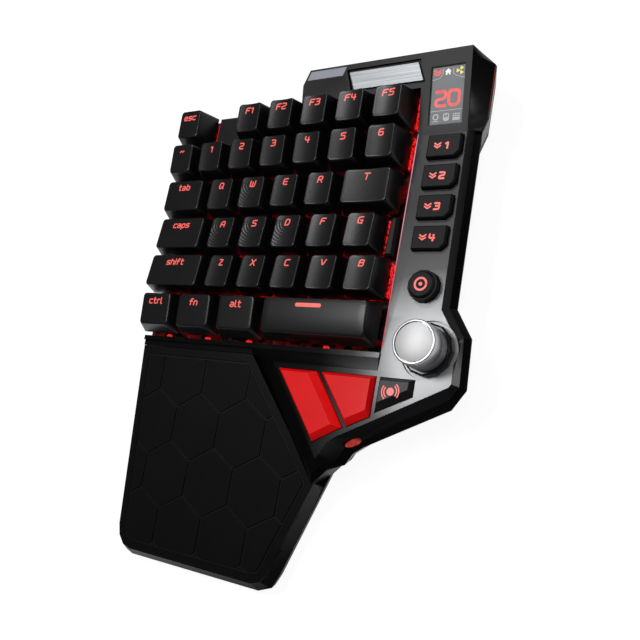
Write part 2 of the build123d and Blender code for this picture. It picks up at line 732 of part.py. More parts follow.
def foot_block(x, y, turn, low, high, grow=0):
    pad = SlotOverall(FOOT_LENGTH + 2 * grow, FOOT_WIDTH + 2 * grow)
    return Pos(x, y, low) * Rot(0, 0, turn) * extrude(pad, high - low)


# Keys
def key_cells():
    """Every key: name, row from the back, left edge, front edge and width of its cell."""
    cells = []
    for row, start, keys in row_width_shares:
        left = start * KEY_PITCH
        front = FIELD_DEPTH - (row + 1) * KEY_PITCH
        for name, share in keys:
            width = share * KEY_PITCH
            cells.append((name, row, left, front, width))
            left += width
    return cells


def rounded(width, depth, radius, place):
    return place * RectangleRounded(width, depth, min(radius, width / 3, depth / 3))


def cap_body(row, width, grow_wall, drop):
    """The tapered body of a cap, or with a wall and a drop the hollow inside it."""
    lean_back, lean_front = (share * KEY_PITCH for share in cap_lean_shares[row])
    top_back, top_front = (share * CAP_HEIGHT - drop for share in cap_top_shares[row])
    extra = FRONT_ROW_EXTRA if row == ROW_COUNT - 1 else 0
    low_front = CAP_RIM_INSET - extra + grow_wall
    low_back = KEY_PITCH - CAP_RIM_INSET - grow_wall
    low_width = width - 2 * (CAP_RIM_INSET + grow_wall)
    high_front = lean_front + grow_wall
    high_back = KEY_PITCH - lean_back - grow_wall
    high_width = width - 2 * (CAP_SIDE_INSET + grow_wall)
    if drop:
        top_back = top_front = min(top_back, top_front)
    slope = math.atan2(top_back - top_front, high_back - high_front)
    run = math.hypot(top_back - top_front, high_back - high_front)
    low_place = Pos(width / 2, (low_front + low_back) / 2, 0)
    high_place = Pos(width / 2, (high_front + high_back) / 2, (top_back + top_front) / 2)
    low = rounded(low_width, low_back - low_front, CAP_CORNER, low_place)
    high = rounded(high_width, run, CAP_TOP_CORNER, high_place * Rot(math.degrees(slope), 0, 0))
    return Solid.make_loft([low.face().outer_wire(), high.face().outer_wire()], ruled=True)


def cap_dish(row, width):
    """The long cylinder that hollows the top of a cap."""
    lean_back, lean_front = (share * KEY_PITCH for share in cap_lean_shares[row])
    top_back, top_front = (share * CAP_HEIGHT for share in cap_top_shares[row])
    chord = width - 2 * CAP_SIDE_INSET
    radius = (chord * chord / 4 + CAP_DISH * CAP_DISH) / (2 * CAP_DISH)
    slope = math.degrees(math.atan2(top_back - top_front, KEY_PITCH - lean_back - lean_front))
    middle = (KEY_PITCH - lean_back + lean_front) / 2
    place = Pos(width / 2, middle, (top_back + top_front) / 2) * Rot(slope, 0, 0)
    return place * Pos(0, 0, radius - CAP_DISH) * Rot(90, 0, 0) * Cylinder(radius, 2 * KEY_PITCH)


def cross(grow, low, high):
    """The cross-shaped tip of a slider, or the slot that it fills."""
    half = CROSS_SPAN / 2 + grow
    wide = CROSS_WIDE / 2 + grow
    thin = CROSS_THIN / 2 + grow
    return block(-half, half, -wide, wide, low, high) + block(-thin, thin, -half, half, low, high)


def key_solids(name, row, left, front, width):
    """One cap with its post, and the slider that is pressed into the post."""
    middle_x, middle_y = left + width / 2, front + KEY_PITCH / 2
    dish = 0 if name in FLAT_CAPS else CAP_DISH
    hollow = cap_body(row, width, CAP_WALL, CAP_CEILING + dish)
    cap = cap_body(row, width, 0, 0) - hollow
    if dish:
        cap = cap - cap_dish(row, width)
    ceiling = min(cap_top_shares[row]) * CAP_HEIGHT - dish - CAP_CEILING / 2
    cap = Pos(left, front, RIM_HEIGHT) * cap
    cap = cap + rod(middle_x, middle_y, POST_RADIUS, SLIDER_TOP, RIM_HEIGHT + ceiling)
    place = Pos(middle_x, middle_y, 0)
    cap = cap - place * cross(SNUG_GAP, SLIDER_TOP - CUT_OVERRUN, SLIDER_TOP + CROSS_HEIGHT + SNUG_GAP)
    half_x, half_y = SLIDER_WIDTH / 2, SLIDER_DEPTH / 2
    slider = block(-half_x, half_x, -half_y, half_y, SLIDER_UNDER, SLIDER_TOP)
    slider = slider + cross(0, SLIDER_TOP - SLIDER_GAP, SLIDER_TOP + CROSS_HEIGHT)
    return [cap, place * slider]


def housing():
    """A switch housing round its own middle: body in the plate, flange, tapered top, slider well."""
    half_body = PLATE_HOLE / 2 - SNUG_GAP
    half_flange = HOUSING_FLANGE / 2
    flange = rectangle(-half_flange, -half_flange, HOUSING_FLANGE, HOUSING_FLANGE)
    top = rectangle(-HOUSING_TOP_WIDTH / 2, -HOUSING_TOP_DEPTH / 2, HOUSING_TOP_WIDTH, HOUSING_TOP_DEPTH)
    body = block(-half_body, half_body, -half_body, half_body, BOARD_TOP, PLATE_TOP)
    body = body + skin(at_height(flange, PLATE_TOP), at_height(top, HOUSING_TOP))
    well_x, well_y = SLIDER_WIDTH / 2 + SLIDER_GAP, SLIDER_DEPTH / 2 + SLIDER_GAP
    body = body - block(-well_x, well_x, -well_y, well_y, WELL_FLOOR, HOUSING_TOP + CUT_OVERRUN)
    pocket_x = LAMP_LENGTH / 2 + LAMP_POCKET_GAP
    pocket_y = LAMP_WIDTH / 2 + LAMP_POCKET_GAP
    pocket_top = BOARD_TOP + LAMP_HEIGHT + LAMP_POCKET_GAP
    body = body - block(-pocket_x, pocket_x, LAMP_OFFSET - pocket_y, LAMP_OFFSET + pocket_y,
                        BOARD_TOP - CUT_OVERRUN, pocket_top)
    return body


def standoff_places():
    """Posts that carry the key board and the plate, on the lines between rows."""
    # Columns of the posts, as shares of the field's width
    column_shares = [0.12, 0.5, 0.88]
    return [(share * FIELD_WIDTH, row * KEY_PITCH) for share in column_shares for row in (1, 3, 5)]


def panel_posts():
    """Posts that carry the control board."""
    return [
        (MODE_X, MACRO_FIRST + MACRO_DEPTH + STANDOFF_FOOT_RADIUS), (MODE_X, MACRO_FIRST - MACRO_PITCH * 2),
        (MODE_X, MODE_Y - MODE_RADIUS), (OUTER_KEY_LEFT + OUTER_KEY_RUN_X, -THUMB_BACK * 2),
        (SOCKET_X, BAY_BACK + WALL + BOARD_GAP + STANDOFF_FOOT_RADIUS),
    ]


# Nodes
def make_keys():
    for cell in key_cells():
        save(f"key_{cell[0]}", key_solids(*cell))


def make_switch_housings():
    one = housing()
    save("switch_housings", [Pos(left + width / 2, front + KEY_PITCH / 2, 0) * one
                             for _, _, left, front, width in key_cells()])


def filler_blocks():
    """Raised blocks of the plate where the back row and the G row leave a space."""
    low, high = PLATE_TOP - PLATE_THICKNESS / 2, PLATE_TOP + FILLER_HEIGHT
    front = FIELD_DEPTH - KEY_PITCH + FILLER_GAP
    left, right = KEY_PITCH + FILLER_GAP, 2 * KEY_PITCH - FILLER_GAP
    back = FIELD_DEPTH - FILLER_GAP
    plan = [(left + FILLER_CHAMFER, front), (right, front), (right, back - FILLER_CHAMFER),
            (right - FILLER_CHAMFER, back), (left, back), (left, front + FILLER_CHAMFER)]
    near = 2 * KEY_PITCH + FILLER_GAP
    side_left = FIELD_WIDTH - KEY_PITCH / 4 + FILLER_GAP / 2
    side = [(side_left, near), (FIELD_WIDTH, near), (FIELD_WIDTH, near + KEY_PITCH - 2 * FILLER_GAP),
            (side_left + FILLER_EDGE, near + KEY_PITCH - 2 * FILLER_GAP)]
    return [skin(at_height(shape, low), at_height(shape, high - FILLER_EDGE))
            + skin(at_height(shape, high - FILLER_EDGE), at_height(even(shape, FILLER_EDGE), high))
            for shape in (plan, side)]


def make_switch_plate():
    right = PANEL_LEFT - FIT_GAP
    plate = block(0, right, -BAY_FRONT + FIT_GAP, BAY_BACK - FIT_GAP, PLATE_UNDER, PLATE_TOP)
    for solid in filler_blocks():
        plate = plate + solid
    half = PLATE_HOLE / 2
    for _, _, left, front, width in key_cells():
        x, y = left + width / 2, front + KEY_PITCH / 2
        plate = plate - block(x - half, x + half, y - half, y + half, PLATE_UNDER - CUT_OVERRUN,
                              PLATE_TOP + CUT_OVERRUN)
    save("switch_plate", [plate])


def control_outline():
    edge = SEAM_INSET + WALL + BOARD_GAP
    near = WALL + BOARD_GAP
    return inset(hollow_outline(), [near] + [edge] * (len(OUTER_SEAM_INSETS) + 1) + [near, near])


def make_circuit_boards():
    """The key board with its lamps, and the control board."""
    key_board = block(BOARD_MARGIN, FIELD_WIDTH - BOARD_MARGIN, BOARD_MARGIN, FIELD_DEPTH - BOARD_MARGIN,
                      BOARD_UNDER, BOARD_TOP)
    for x, y in standoff_places():
        key_board = key_board - rod(x, y, STANDOFF_RADIUS + STANDOFF_GAP, BOARD_UNDER - CUT_OVERRUN,
                                    BOARD_TOP + CUT_OVERRUN)
    lamps = []
    half_x, half_y = LAMP_LENGTH / 2, LAMP_WIDTH / 2
    for _, _, left, front, width in key_cells():
        x, y = left + width / 2, front + KEY_PITCH / 2 + LAMP_OFFSET
        lamps.append(block(x - half_x, x + half_x, y - half_y, y + half_y, BOARD_TOP,
                           BOARD_TOP + LAMP_HEIGHT))
    control = prism(control_outline(), BOARD_UNDER, BOARD_TOP)
    rear_left = SOCKET_X - SOCKET_WIDTH
    rear_back = CASE_BACK - BACK_SEAM_INSET - WALL - BOARD_GAP
    rear_front = BAY_BACK + WALL + BOARD_GAP
    panel_near = PANEL_LEFT + WALL + BOARD_GAP
    panel_far = PANEL_RIGHT - SEAM_INSET - WALL - BOARD_GAP
    control = control + block(panel_near, panel_far, CREASE, rear_back, BOARD_UNDER, BOARD_TOP)
    control = control + block(rear_left, panel_far, rear_front, rear_back, BOARD_UNDER, BOARD_TOP)
    for x, y, _ in frame_bosses():
        control = control - rod(x, y, BOSS_RADIUS + BOARD_GAP, BOARD_UNDER - CUT_OVERRUN,
                                BOARD_TOP + CUT_OVERRUN)
    save("circuit_boards", [key_board] + lamps + [control])


def make_tact_switches():
    switches = []
    half = TACT_SIZE / 2
    for _, _, (x, y) in button_shapes():
        switch = block(x - half, x + half, y - half, y + half, BOARD_TOP, TACT_TOP)
        switches.append(switch - rod(x, y, PLUNGER_RADIUS + SNUG_GAP, BOARD_TOP - CUT_OVERRUN,
                                     TACT_TOP + CUT_OVERRUN))
    save("tact_switches", switches)


def plunger_and_stem(points, x, y):
    """The flange and stem under a button, and the plunger that it presses."""
    flange = prism(even(points, -FLANGE_WIDTH), FLANGE_UNDER, FLANGE_TOP)
    stem = rod(x, y, STEM_RADIUS, PLUNGER_TOP, FLANGE_UNDER + FLANGE_THICKNESS / 2)
    plunger = rod(x, y, PLUNGER_RADIUS, PLUNGER_TOP - PLUNGER_LENGTH, PLUNGER_TOP)
    return flange + stem, plunger


def make_buttons():
    """Macro buttons, the round mode button and the thumb keys."""
    thumb_tops = dict(zip(["thumb_key_outer", "thumb_key_middle", "thumb_key_inner"], THUMB_TOP_INSETS))
    for name, points, (x, y) in button_shapes():
        base, plunger = plunger_and_stem(points, x, y)
        if name in thumb_tops:
            edge, top = DECK_HEIGHT + THUMB_SKIRT, DECK_HEIGHT + THUMB_RISE
            cap = prism(points, FLANGE_TOP, edge)
            cap = cap + skin(at_height(points, edge), at_height(inset(points, thumb_tops[name]), top))
        elif name == "mode_button":
            edge, top = DECK_HEIGHT + MODE_RISE - MODE_BEVEL, DECK_HEIGHT + MODE_RISE
            cap = prism(points, FLANGE_TOP, edge)
            cap = cap + cone(x, y, MODE_FACE_RADIUS, MODE_FACE_RADIUS - MODE_BEVEL / 2, edge, top)
        else:
            edge, top = DECK_HEIGHT + MACRO_RISE - MACRO_EDGE, DECK_HEIGHT + MACRO_RISE
            cap = prism(points, FLANGE_TOP, edge)
            cap = cap + skin(at_height(points, edge), at_height(even(points, MACRO_EDGE), top))
        save(name, [cap + base, plunger])


def make_knob():
    """The knob with its collar and hub, and the encoder shaft pressed into the hub."""
    low = DECK_HEIGHT - WELL_DEPTH + KNOB_LIFT
    collar = prism(regular(KNOB_X, KNOB_Y, KNOB_COLLAR_RADIUS, KNOB_SIDES), low, low + KNOB_COLLAR_HEIGHT)
    body = rod(KNOB_X, KNOB_Y, KNOB_RADIUS, low, KNOB_TOP - KNOB_CHAMFER)
    body = body + cone(KNOB_X, KNOB_Y, KNOB_RADIUS, KNOB_RADIUS - KNOB_CHAMFER, KNOB_TOP - KNOB_CHAMFER,
                       KNOB_TOP)
    ceiling = KNOB_TOP - KNOB_SHELL
    knob = collar + body - rod(KNOB_X, KNOB_Y, KNOB_RADIUS - KNOB_SHELL, low - CUT_OVERRUN, ceiling)
    hub_low = BUSHING_TOP + KNOB_LIFT
    knob = knob + rod(KNOB_X, KNOB_Y, KNOB_HUB_RADIUS, hub_low, ceiling + KNOB_SHELL / 2)
    shaft_top = BUSHING_TOP + SHAFT_GRIP
    knob = knob - rod(KNOB_X, KNOB_Y, SHAFT_RADIUS + SNUG_GAP, hub_low - CUT_OVERRUN, shaft_top)
    shaft = rod(KNOB_X, KNOB_Y, SHAFT_RADIUS, SHAFT_LOW, shaft_top)
    save("knob", [knob, shaft])


def make_encoder_body():
    half = ENCODER_SIZE / 2
    top = BOARD_TOP + ENCODER_HEIGHT
    body = block(KNOB_X - half, KNOB_X + half, KNOB_Y - half, KNOB_Y + half, BOARD_TOP, top)
    body = body + rod(KNOB_X, KNOB_Y, BUSHING_RADIUS, top - CUT_OVERRUN, BUSHING_TOP)
    body = body - rod(KNOB_X, KNOB_Y, SHAFT_RADIUS + SNUG_GAP, SHAFT_LOW - FIT_GAP,
                      BUSHING_TOP + CUT_OVERRUN)
    save("encoder_body", [body])


def glass_plan(margin=0):
    return rectangle(PANEL_LEFT + GLASS_LEFT + margin, GLASS_START + margin, GLASS_WIDTH - 2 * margin,
                     GLASS_LENGTH - 2 * margin)


def make_display():
    save("display_window", [on_face(glass_plan(), -GLASS_SUNK - GLASS_THICKNESS, -GLASS_SUNK)])
    under = -GLASS_SUNK - GLASS_THICKNESS
    save("display_module", [on_face(glass_plan(MODULE_MARGIN), under - MODULE_THICKNESS, under)])


def badge_plan(margin=0):
    return leaning(BADGE_LEFT - margin, BADGE_START - margin, BADGE_LENGTH + 2 * margin,
                   BADGE_WIDTH + 2 * margin, -BADGE_LEAN)


def make_badge_plate():
    low = -BADGE_THICKNESS - BADGE_SUNK
    save("badge_plate", [on_face(badge_plan(), low, low + BADGE_THICKNESS)])


def rear_window_plan(margin=0):
    return leaning(REAR_WINDOW_LEFT - margin, REAR_WINDOW_START - margin, REAR_WINDOW_LENGTH + 2 * margin,
                   REAR_WINDOW_WIDTH + 2 * margin, REAR_WINDOW_LEAN)


def side_strip(grow=0):
    """The strip in the panel's inner wall, beside the keys."""
    high = DECK_HEIGHT - STRIP_DROP + grow
    left = PANEL_LEFT - (CUT_OVERRUN if grow else 0)
    return block(left, PANEL_LEFT + STRIP_THICKNESS, -grow, STRIP_BACK + grow,
                 high - STRIP_HEIGHT - 2 * grow, high)


def flank_strip(grow=0):
    """The strip low in the rear right flank."""
    right = FLANK_RIGHT + (CUT_OVERRUN if grow else 0)
    front = FLANK_FRONT + FLANK_STRIP_MARGIN
    back = CASE_BACK - REAR_RIGHT_CORNER_Y - FLANK_STRIP_MARGIN
    low = (REAR_BELT_LOW + REAR_BELT_HIGH - FLANK_STRIP_HEIGHT) / 2
    return block(FLANK_RIGHT - FLANK_STRIP_DEPTH, right, front - grow, back + grow, low - grow,
                 low + FLANK_STRIP_HEIGHT + grow)


def oval_lens(grow, low, high):
    """The oval lens in the bevel beside the thumb keys."""
    oval = Ellipse(OVAL_LENGTH / 2 + grow, OVAL_WIDTH / 2 + grow)
    return Pos(OVAL_X, -OVAL_Y, low) * Rot(0, 0, OVAL_TURN) * extrude(oval, high - low)


def oval_level():
    """Height of the lens, which is sunk below the bevel's upper edge."""
    return SHOULDER_HEIGHT - OVAL_SUNK


def make_light_guides():
    window = on_face(rear_window_plan(), -WINDOW_THICKNESS, WINDOW_PROUD)
    lens = oval_lens(0, oval_level() - OVAL_THICKNESS, oval_level())
    save("light_guides", [window, side_strip(), flank_strip(), lens])


def socket_block(grow, front, back):
    half = SOCKET_WIDTH / 2 + grow
    return block(SOCKET_X - half, SOCKET_X + half, front, back, BOARD_TOP - grow,
                 BOARD_TOP + SOCKET_HEIGHT + grow)


def make_usb_socket():
    front = CASE_BACK - SOCKET_DEPTH
    shell = socket_block(0, front, CASE_BACK)
    shell = shell - socket_block(-SOCKET_WALL, front + SOCKET_BACK, CASE_BACK + CUT_OVERRUN)
    save("usb_socket", [shell])


def make_top_frame():
    """Right panel, knob lobe, thumb deck, rear block and front lip in one moulding."""
    levels = main_levels()
    frame = None
    for (lower, low), (upper, high) in zip(levels, levels[1:]):
        piece = skin(at_height(lower, low), at_height(upper, high))
        frame = piece if frame is None else frame + piece
    rear = rear_outline()
    seam = inset(rear, REAR_SEAM_INSETS)
    frame = frame + skin(at_height(seam, SEAM_HEIGHT), at_height(rear, REAR_BELT_LOW))
    frame = frame + prism(rear, REAR_BELT_LOW, REAR_BELT_HIGH)
    frame = frame + skin(at_height(rear, REAR_BELT_HIGH), on_tilt(rear_face()))
    lip_back = -BAY_FRONT
    ridge_front = lip_back - RIDGE_WIDTH
    frame = frame + block(0, LIP_LEFT, ridge_front, lip_back, SEAM_HEIGHT, DECK_HEIGHT + RIDGE_RISE)
    frame = frame + block(0, LIP_LEFT, -LIP_FRONT, lip_back, DECK_UNDER, DECK_HEIGHT)
    corner_x, corner_y = deck_corner()
    ridge_foot = [(PANEL_LEFT, lip_back), (LIP_LEFT, lip_back), (LIP_LEFT, -LIP_FRONT),
                  (corner_x, corner_y), (PANEL_LEFT, corner_y)]
    ridge_top = [(PANEL_LEFT, lip_back), (LIP_LEFT, lip_back), (LIP_LEFT, ridge_front),
                 (LIP_LEFT + RIDGE_WIDTH, ridge_front), (PANEL_LEFT, ridge_front)]
    frame = frame + skin(at_height(ridge_foot, DECK_HEIGHT),
                         at_height(ridge_top, DECK_HEIGHT + RIDGE_RISE))
    return frame


def hollow_frame(frame):
    """Take out the space inside the frame."""
    low, step = SEAM_HEIGHT - CUT_OVERRUN, REAR_BELT_LOW - CUT_OVERRUN
    low_walls = [WALL, DECK_WALL_INSET] + [seam + WALL for seam in OUTER_SEAM_INSETS] + [WALL, WALL]
    high_walls = [WALL, DECK_WALL_INSET] + [DECK_WALL_INSET for _ in OUTER_SEAM_INSETS] + [WALL, WALL]
    outline = hollow_outline()
    frame = frame - skin(at_height(inset(outline, low_walls), low),
                         at_height(inset(outline, high_walls), DECK_UNDER))
    inner = inset(rear_outline(), [WALL, WALL, 0] + [seam + WALL for seam in REAR_SEAM_INSETS[3:]])
    frame = frame - prism(inner, low, step)
    face = inset(rear_face(), [WALL, WALL, 0] + [WALL] * 6)
    return frame - skin(at_height(inner, step), on_tilt(face, DECK_THICKNESS))


def open_frame(frame):
    """Cut the openings for buttons, knob, display, badge, light guides and socket."""
    top = DECK_HEIGHT + RIDGE_RISE + CUT_OVERRUN
    for _, points, _ in button_shapes():
        frame = frame - prism(even(points, -BUTTON_GAP), DECK_UNDER - CUT_OVERRUN, top)
    frame = frame - rod(KNOB_X, KNOB_Y, WELL_RADIUS, DECK_HEIGHT - WELL_DEPTH, top)
    frame = frame - rod(KNOB_X, KNOB_Y, BUSHING_RADIUS + FIT_GAP, DECK_UNDER - CUT_OVERRUN, top)
    frame = frame - on_face(even(glass_plan(), -SNUG_GAP), -GLASS_SUNK - GLASS_THICKNESS, CUT_OVERRUN)
    frame = frame - on_face(even(glass_plan(MODULE_MARGIN), -SNUG_GAP),
                            -DECK_THICKNESS - CUT_OVERRUN, -GLASS_SUNK)
    frame = frame - on_face(badge_plan(BADGE_WELL_MARGIN), -BADGE_SUNK - BADGE_THICKNESS, CUT_OVERRUN)
    frame = frame - on_face(rear_window_plan(SNUG_GAP), -WINDOW_THICKNESS, CUT_OVERRUN)
    frame = frame - side_strip(SNUG_GAP) - flank_strip(SNUG_GAP)
    frame = frame - oval_lens(SNUG_GAP, oval_level() - OVAL_THICKNESS, top)
    return frame - socket_block(SNUG_GAP, CASE_BACK - SOCKET_DEPTH - CUT_OVERRUN, CASE_BACK + CUT_OVERRUN)


def add_bosses(shell, bosses):
    """Screw bosses that come down to the floor, each with a blind hole."""
    for x, y, top in bosses:
        shell = shell + rod(x, y, BOSS_RADIUS, FLOOR_TOP, top)
    for x, y, _ in bosses:
        shell = shell - rod(x, y, SCREW_RADIUS + SNUG_GAP, FLOOR_TOP - CUT_OVERRUN,
                            screw_tip() + SNUG_GAP)
    return shell


def head_top():
    return FOOT_HEIGHT + SCREW_SUNK + SCREW_HEAD_HEIGHT


def screw_tip():
    return head_top() + SCREW_GRIP - SCREW_HEAD_HEIGHT


def make_case_screws():
    screws = []
    for x, y in screw_places():
        head = rod(x, y, SCREW_HEAD_RADIUS, FOOT_HEIGHT + SCREW_SUNK, head_top())
        screws.append(head + rod(x, y, SCREW_RADIUS, head_top() - SCREW_SUNK, screw_tip()))
    save("case_screws", screws)


def make_bottom_shell():
    seam = inset(full_outline(), full_seam_insets())
    base = even(seam, BASE_INSET)
    shell = skin(at_height(base, FOOT_HEIGHT), at_height(seam, SEAM_HEIGHT))
    shell = shell - prism(even(seam, WALL + BASE_INSET), FLOOR_TOP, SEAM_HEIGHT + CUT_OVERRUN)
    back = BAY_BACK - FIT_GAP
    front = -BAY_FRONT + FIT_GAP
    shell = shell + block(0, WALL, front, back, SEAM_HEIGHT - FLOOR_THICKNESS / 2, PLATE_UNDER)
    shell = shell + block(0, REAR_LEFT - FIT_GAP, back - WALL, back, SEAM_HEIGHT - FLOOR_THICKNESS / 2,
                          PLATE_UNDER)
    for x, y in standoff_places():
        shell = shell + rod(x, y, STANDOFF_FOOT_RADIUS, FLOOR_TOP - CUT_OVERRUN, BOARD_UNDER)
        shell = shell + rod(x, y, STANDOFF_RADIUS, FLOOR_TOP, PLATE_UNDER)
    for x, y in panel_posts():
        shell = shell + rod(x, y, STANDOFF_FOOT_RADIUS, FLOOR_TOP - CUT_OVERRUN, BOARD_UNDER)
    for x, y in screw_places():
        shell = shell - rod(x, y, BOSS_RADIUS + FIT_GAP, FLOOR_TOP, SEAM_HEIGHT + CUT_OVERRUN)
        shell = shell - rod(x, y, SCREW_HEAD_RADIUS + FIT_GAP, FOOT_HEIGHT - CUT_OVERRUN, head_top())
        shell = shell - rod(x, y, SCREW_RADIUS + FIT_GAP, FOOT_HEIGHT - CUT_OVERRUN,
                            FLOOR_TOP + CUT_OVERRUN)
    for x, y, turn in foot_places():
        shell = shell - foot_block(x, y, turn, FOOT_HEIGHT - CUT_OVERRUN, FOOT_HEIGHT + FOOT_POCKET,
                                   SNUG_GAP)
    save("bottom_shell", [shell])


def make_rubber_feet():
    save("rubber_feet", [foot_block(x, y, turn, 0, FOOT_HEIGHT + FOOT_POCKET)
                         for x, y, turn in foot_places()])


def make_palm_rest():
    """The palm rest's shell with its shallow tray, and the pad that lies in the tray."""
    outline, rim = palm_outline(), palm_rim()
    shell = skin(at_height(outline, SEAM_HEIGHT), on_palm(rim))
    inner_low = even(outline, WALL + PALM_CORNER_LEAN)
    inner_high = even(rim, WALL + PALM_CORNER_LEAN)
    shell = shell - skin(at_height(inner_low, SEAM_HEIGHT - CUT_OVERRUN),
                         on_palm(inner_high, PAD_DEPTH + PAD_BED))
    pad_plan = even(rim, PAD_BORDER)
    tray_plan = even(rim, PAD_BORDER - SNUG_GAP)
    shell = shell - skin(on_palm(tray_plan, PAD_DEPTH), on_palm(tray_plan, -CUT_OVERRUN))
    save("palm_rest_shell", [add_bosses(shell, palm_bosses())])
    save("palm_pad", [skin(on_palm(pad_plan, PAD_DEPTH), on_palm(pad_plan, -PAD_PROUD))])


def main():
    os.makedirs("parts", exist_ok=True)
    make_keys()
    make_switch_housings()
    make_switch_plate()
    make_circuit_boards()
    make_tact_switches()
    make_buttons()
    make_knob()
    make_encoder_body()
    make_display()
    make_badge_plate()
    make_light_guides()
    make_usb_socket()
    save("top_frame", [add_bosses(open_frame(hollow_frame(make_top_frame())), frame_bosses())])
    make_case_screws()
    make_bottom_shell()
    make_rubber_feet()
    make_palm_rest()


main()
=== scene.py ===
import logging
import math
from collections.abc import Callable
from dataclasses import dataclass, field
from enum import Enum

import bmesh
import bpy
import numpy as np
from mathutils import Matrix, Vector


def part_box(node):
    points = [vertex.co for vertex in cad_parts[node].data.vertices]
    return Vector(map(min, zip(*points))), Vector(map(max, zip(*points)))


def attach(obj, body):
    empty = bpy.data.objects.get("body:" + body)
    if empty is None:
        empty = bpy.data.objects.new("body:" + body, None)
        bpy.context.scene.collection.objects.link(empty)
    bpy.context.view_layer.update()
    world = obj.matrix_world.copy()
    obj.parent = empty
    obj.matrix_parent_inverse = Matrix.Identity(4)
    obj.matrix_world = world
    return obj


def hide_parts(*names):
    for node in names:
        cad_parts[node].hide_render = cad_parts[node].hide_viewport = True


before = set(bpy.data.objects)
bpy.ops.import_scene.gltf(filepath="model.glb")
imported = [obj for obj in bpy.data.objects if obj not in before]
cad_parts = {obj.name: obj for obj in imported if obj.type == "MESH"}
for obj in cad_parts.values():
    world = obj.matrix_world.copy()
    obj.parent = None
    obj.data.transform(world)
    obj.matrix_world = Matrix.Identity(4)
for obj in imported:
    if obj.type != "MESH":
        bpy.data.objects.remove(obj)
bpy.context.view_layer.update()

# Looks of a one-handed gaming keypad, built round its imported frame.
# Shapes are worked out in millimetres in the keypad's own frame and become metres in Shape.build.
MM = 0.001
LOG = logging.getLogger("keypad")

# A turned shape starts this far from its axis, so that its end faces have an area.
AXIS_GAP = 0.02
# A CAD mesh is welded and its flat faces are joined. Edges past ROUNDED_DEG are then rounded in a
# few steps, and edges past SHARP_DEG are shaded as sharp.
WELD_MM = 0.002
FLAT_DEG = 0.6
ROUNDED_DEG = 18.0
SHARP_DEG = 28.0
ROUNDING_STEPS = 2
# A line's corner is cut this share of each side away from it.
CUT_SHARE = 0.2
# A ribbon runs on past its line's ends by this share of its width.
END_SHARE = 0.4
# At a ribbon's corner the cosine of half the turn counts as at least this, and the mitre is at most
# so many times as wide as the ribbon.
LEAST_COSINE = 0.5
WIDEST_MITRE = 1.4
# A noise changes its tone between these two of its values, and has two grains in one unit.
TONE_LOW, TONE_HIGH = 0.3, 0.7
GRAINS_IN_UNIT = 2

Tree = bpy.types.NodeTree
Socket = bpy.types.NodeSocket
Pair = tuple[float, float]


class Body(Enum):
    """The moving groups that new pieces ride on, other than the keys and buttons."""

    CASE = "case"
    KNOB = "knob"


def srgb(code: str) -> tuple[float, float, float, float]:
    """Turn an sRGB hex colour into Blender's linear one.

    Args:
        code: the colour as "#rrggbb".
    Returns:
        Red, green, blue and an alpha of one, linear.
    """
    parts = [int(code[i:i + 2], 16) / 255 for i in (1, 3, 5)]
    linear = (c / 12.92 if c <= 0.04045 else ((c + 0.055) / 1.055) ** 2.4 for c in parts)
    return (*linear, 1.0)


def add_node(tree: Tree, kind: str, settings: dict | None = None, links: dict | None = None,
             stops: tuple = ()) -> bpy.types.Node:
    """Add one node to a tree.

    Args:
        tree: the node tree.
        kind: the node's type name.
        settings: properties, or values of inputs, by name or index.
        links: what feeds this node's inputs, by name or index: an output socket, or a node whose
            first output is meant.
        stops: places and hex colours on a colour ramp, its two ends first.
    Returns:
        The new node.
    """
    node = tree.nodes.new(kind)
    for key, value in (settings or {}).items():
        if isinstance(key, str) and hasattr(node, key):
            setattr(node, key, value)
        else:
            node.inputs[key].default_value = value
    for key, source in (links or {}).items():
        is_node = isinstance(source, bpy.types.Node)
        tree.links.new(source.outputs[0] if is_node else source, node.inputs[key])
    for index, (place, code) in enumerate(stops):
        known = node.color_ramp.elements
        stop = known[index] if index < 2 else known.new(place)
        stop.position, stop.color = place, srgb(code)
    return node


def new_material(name: str) -> tuple[bpy.types.Material, Tree]:
    """Start an empty node material.

    Args:
        name: what the finish is called.
    Returns:
        The material and its tree.
    """
    made = bpy.data.materials.new(name)
    made.use_nodes = True
    made.node_tree.nodes.clear()
    return made, made.node_tree


def surfaced(made: bpy.types.Material, shader: bpy.types.Node) -> bpy.types.Material:
    """Let a shader feed the material's output, and hand the material back."""
    add_node(made.node_tree, "ShaderNodeOutputMaterial", {}, {"Surface": shader})
    return made


def placed(name: str, data: bpy.types.ID) -> bpy.types.Object:
    """Make an object of a mesh, light or camera, and put it into the scene."""
    made = bpy.data.objects.new(name, data)
    bpy.context.scene.collection.objects.link(made)
    return made


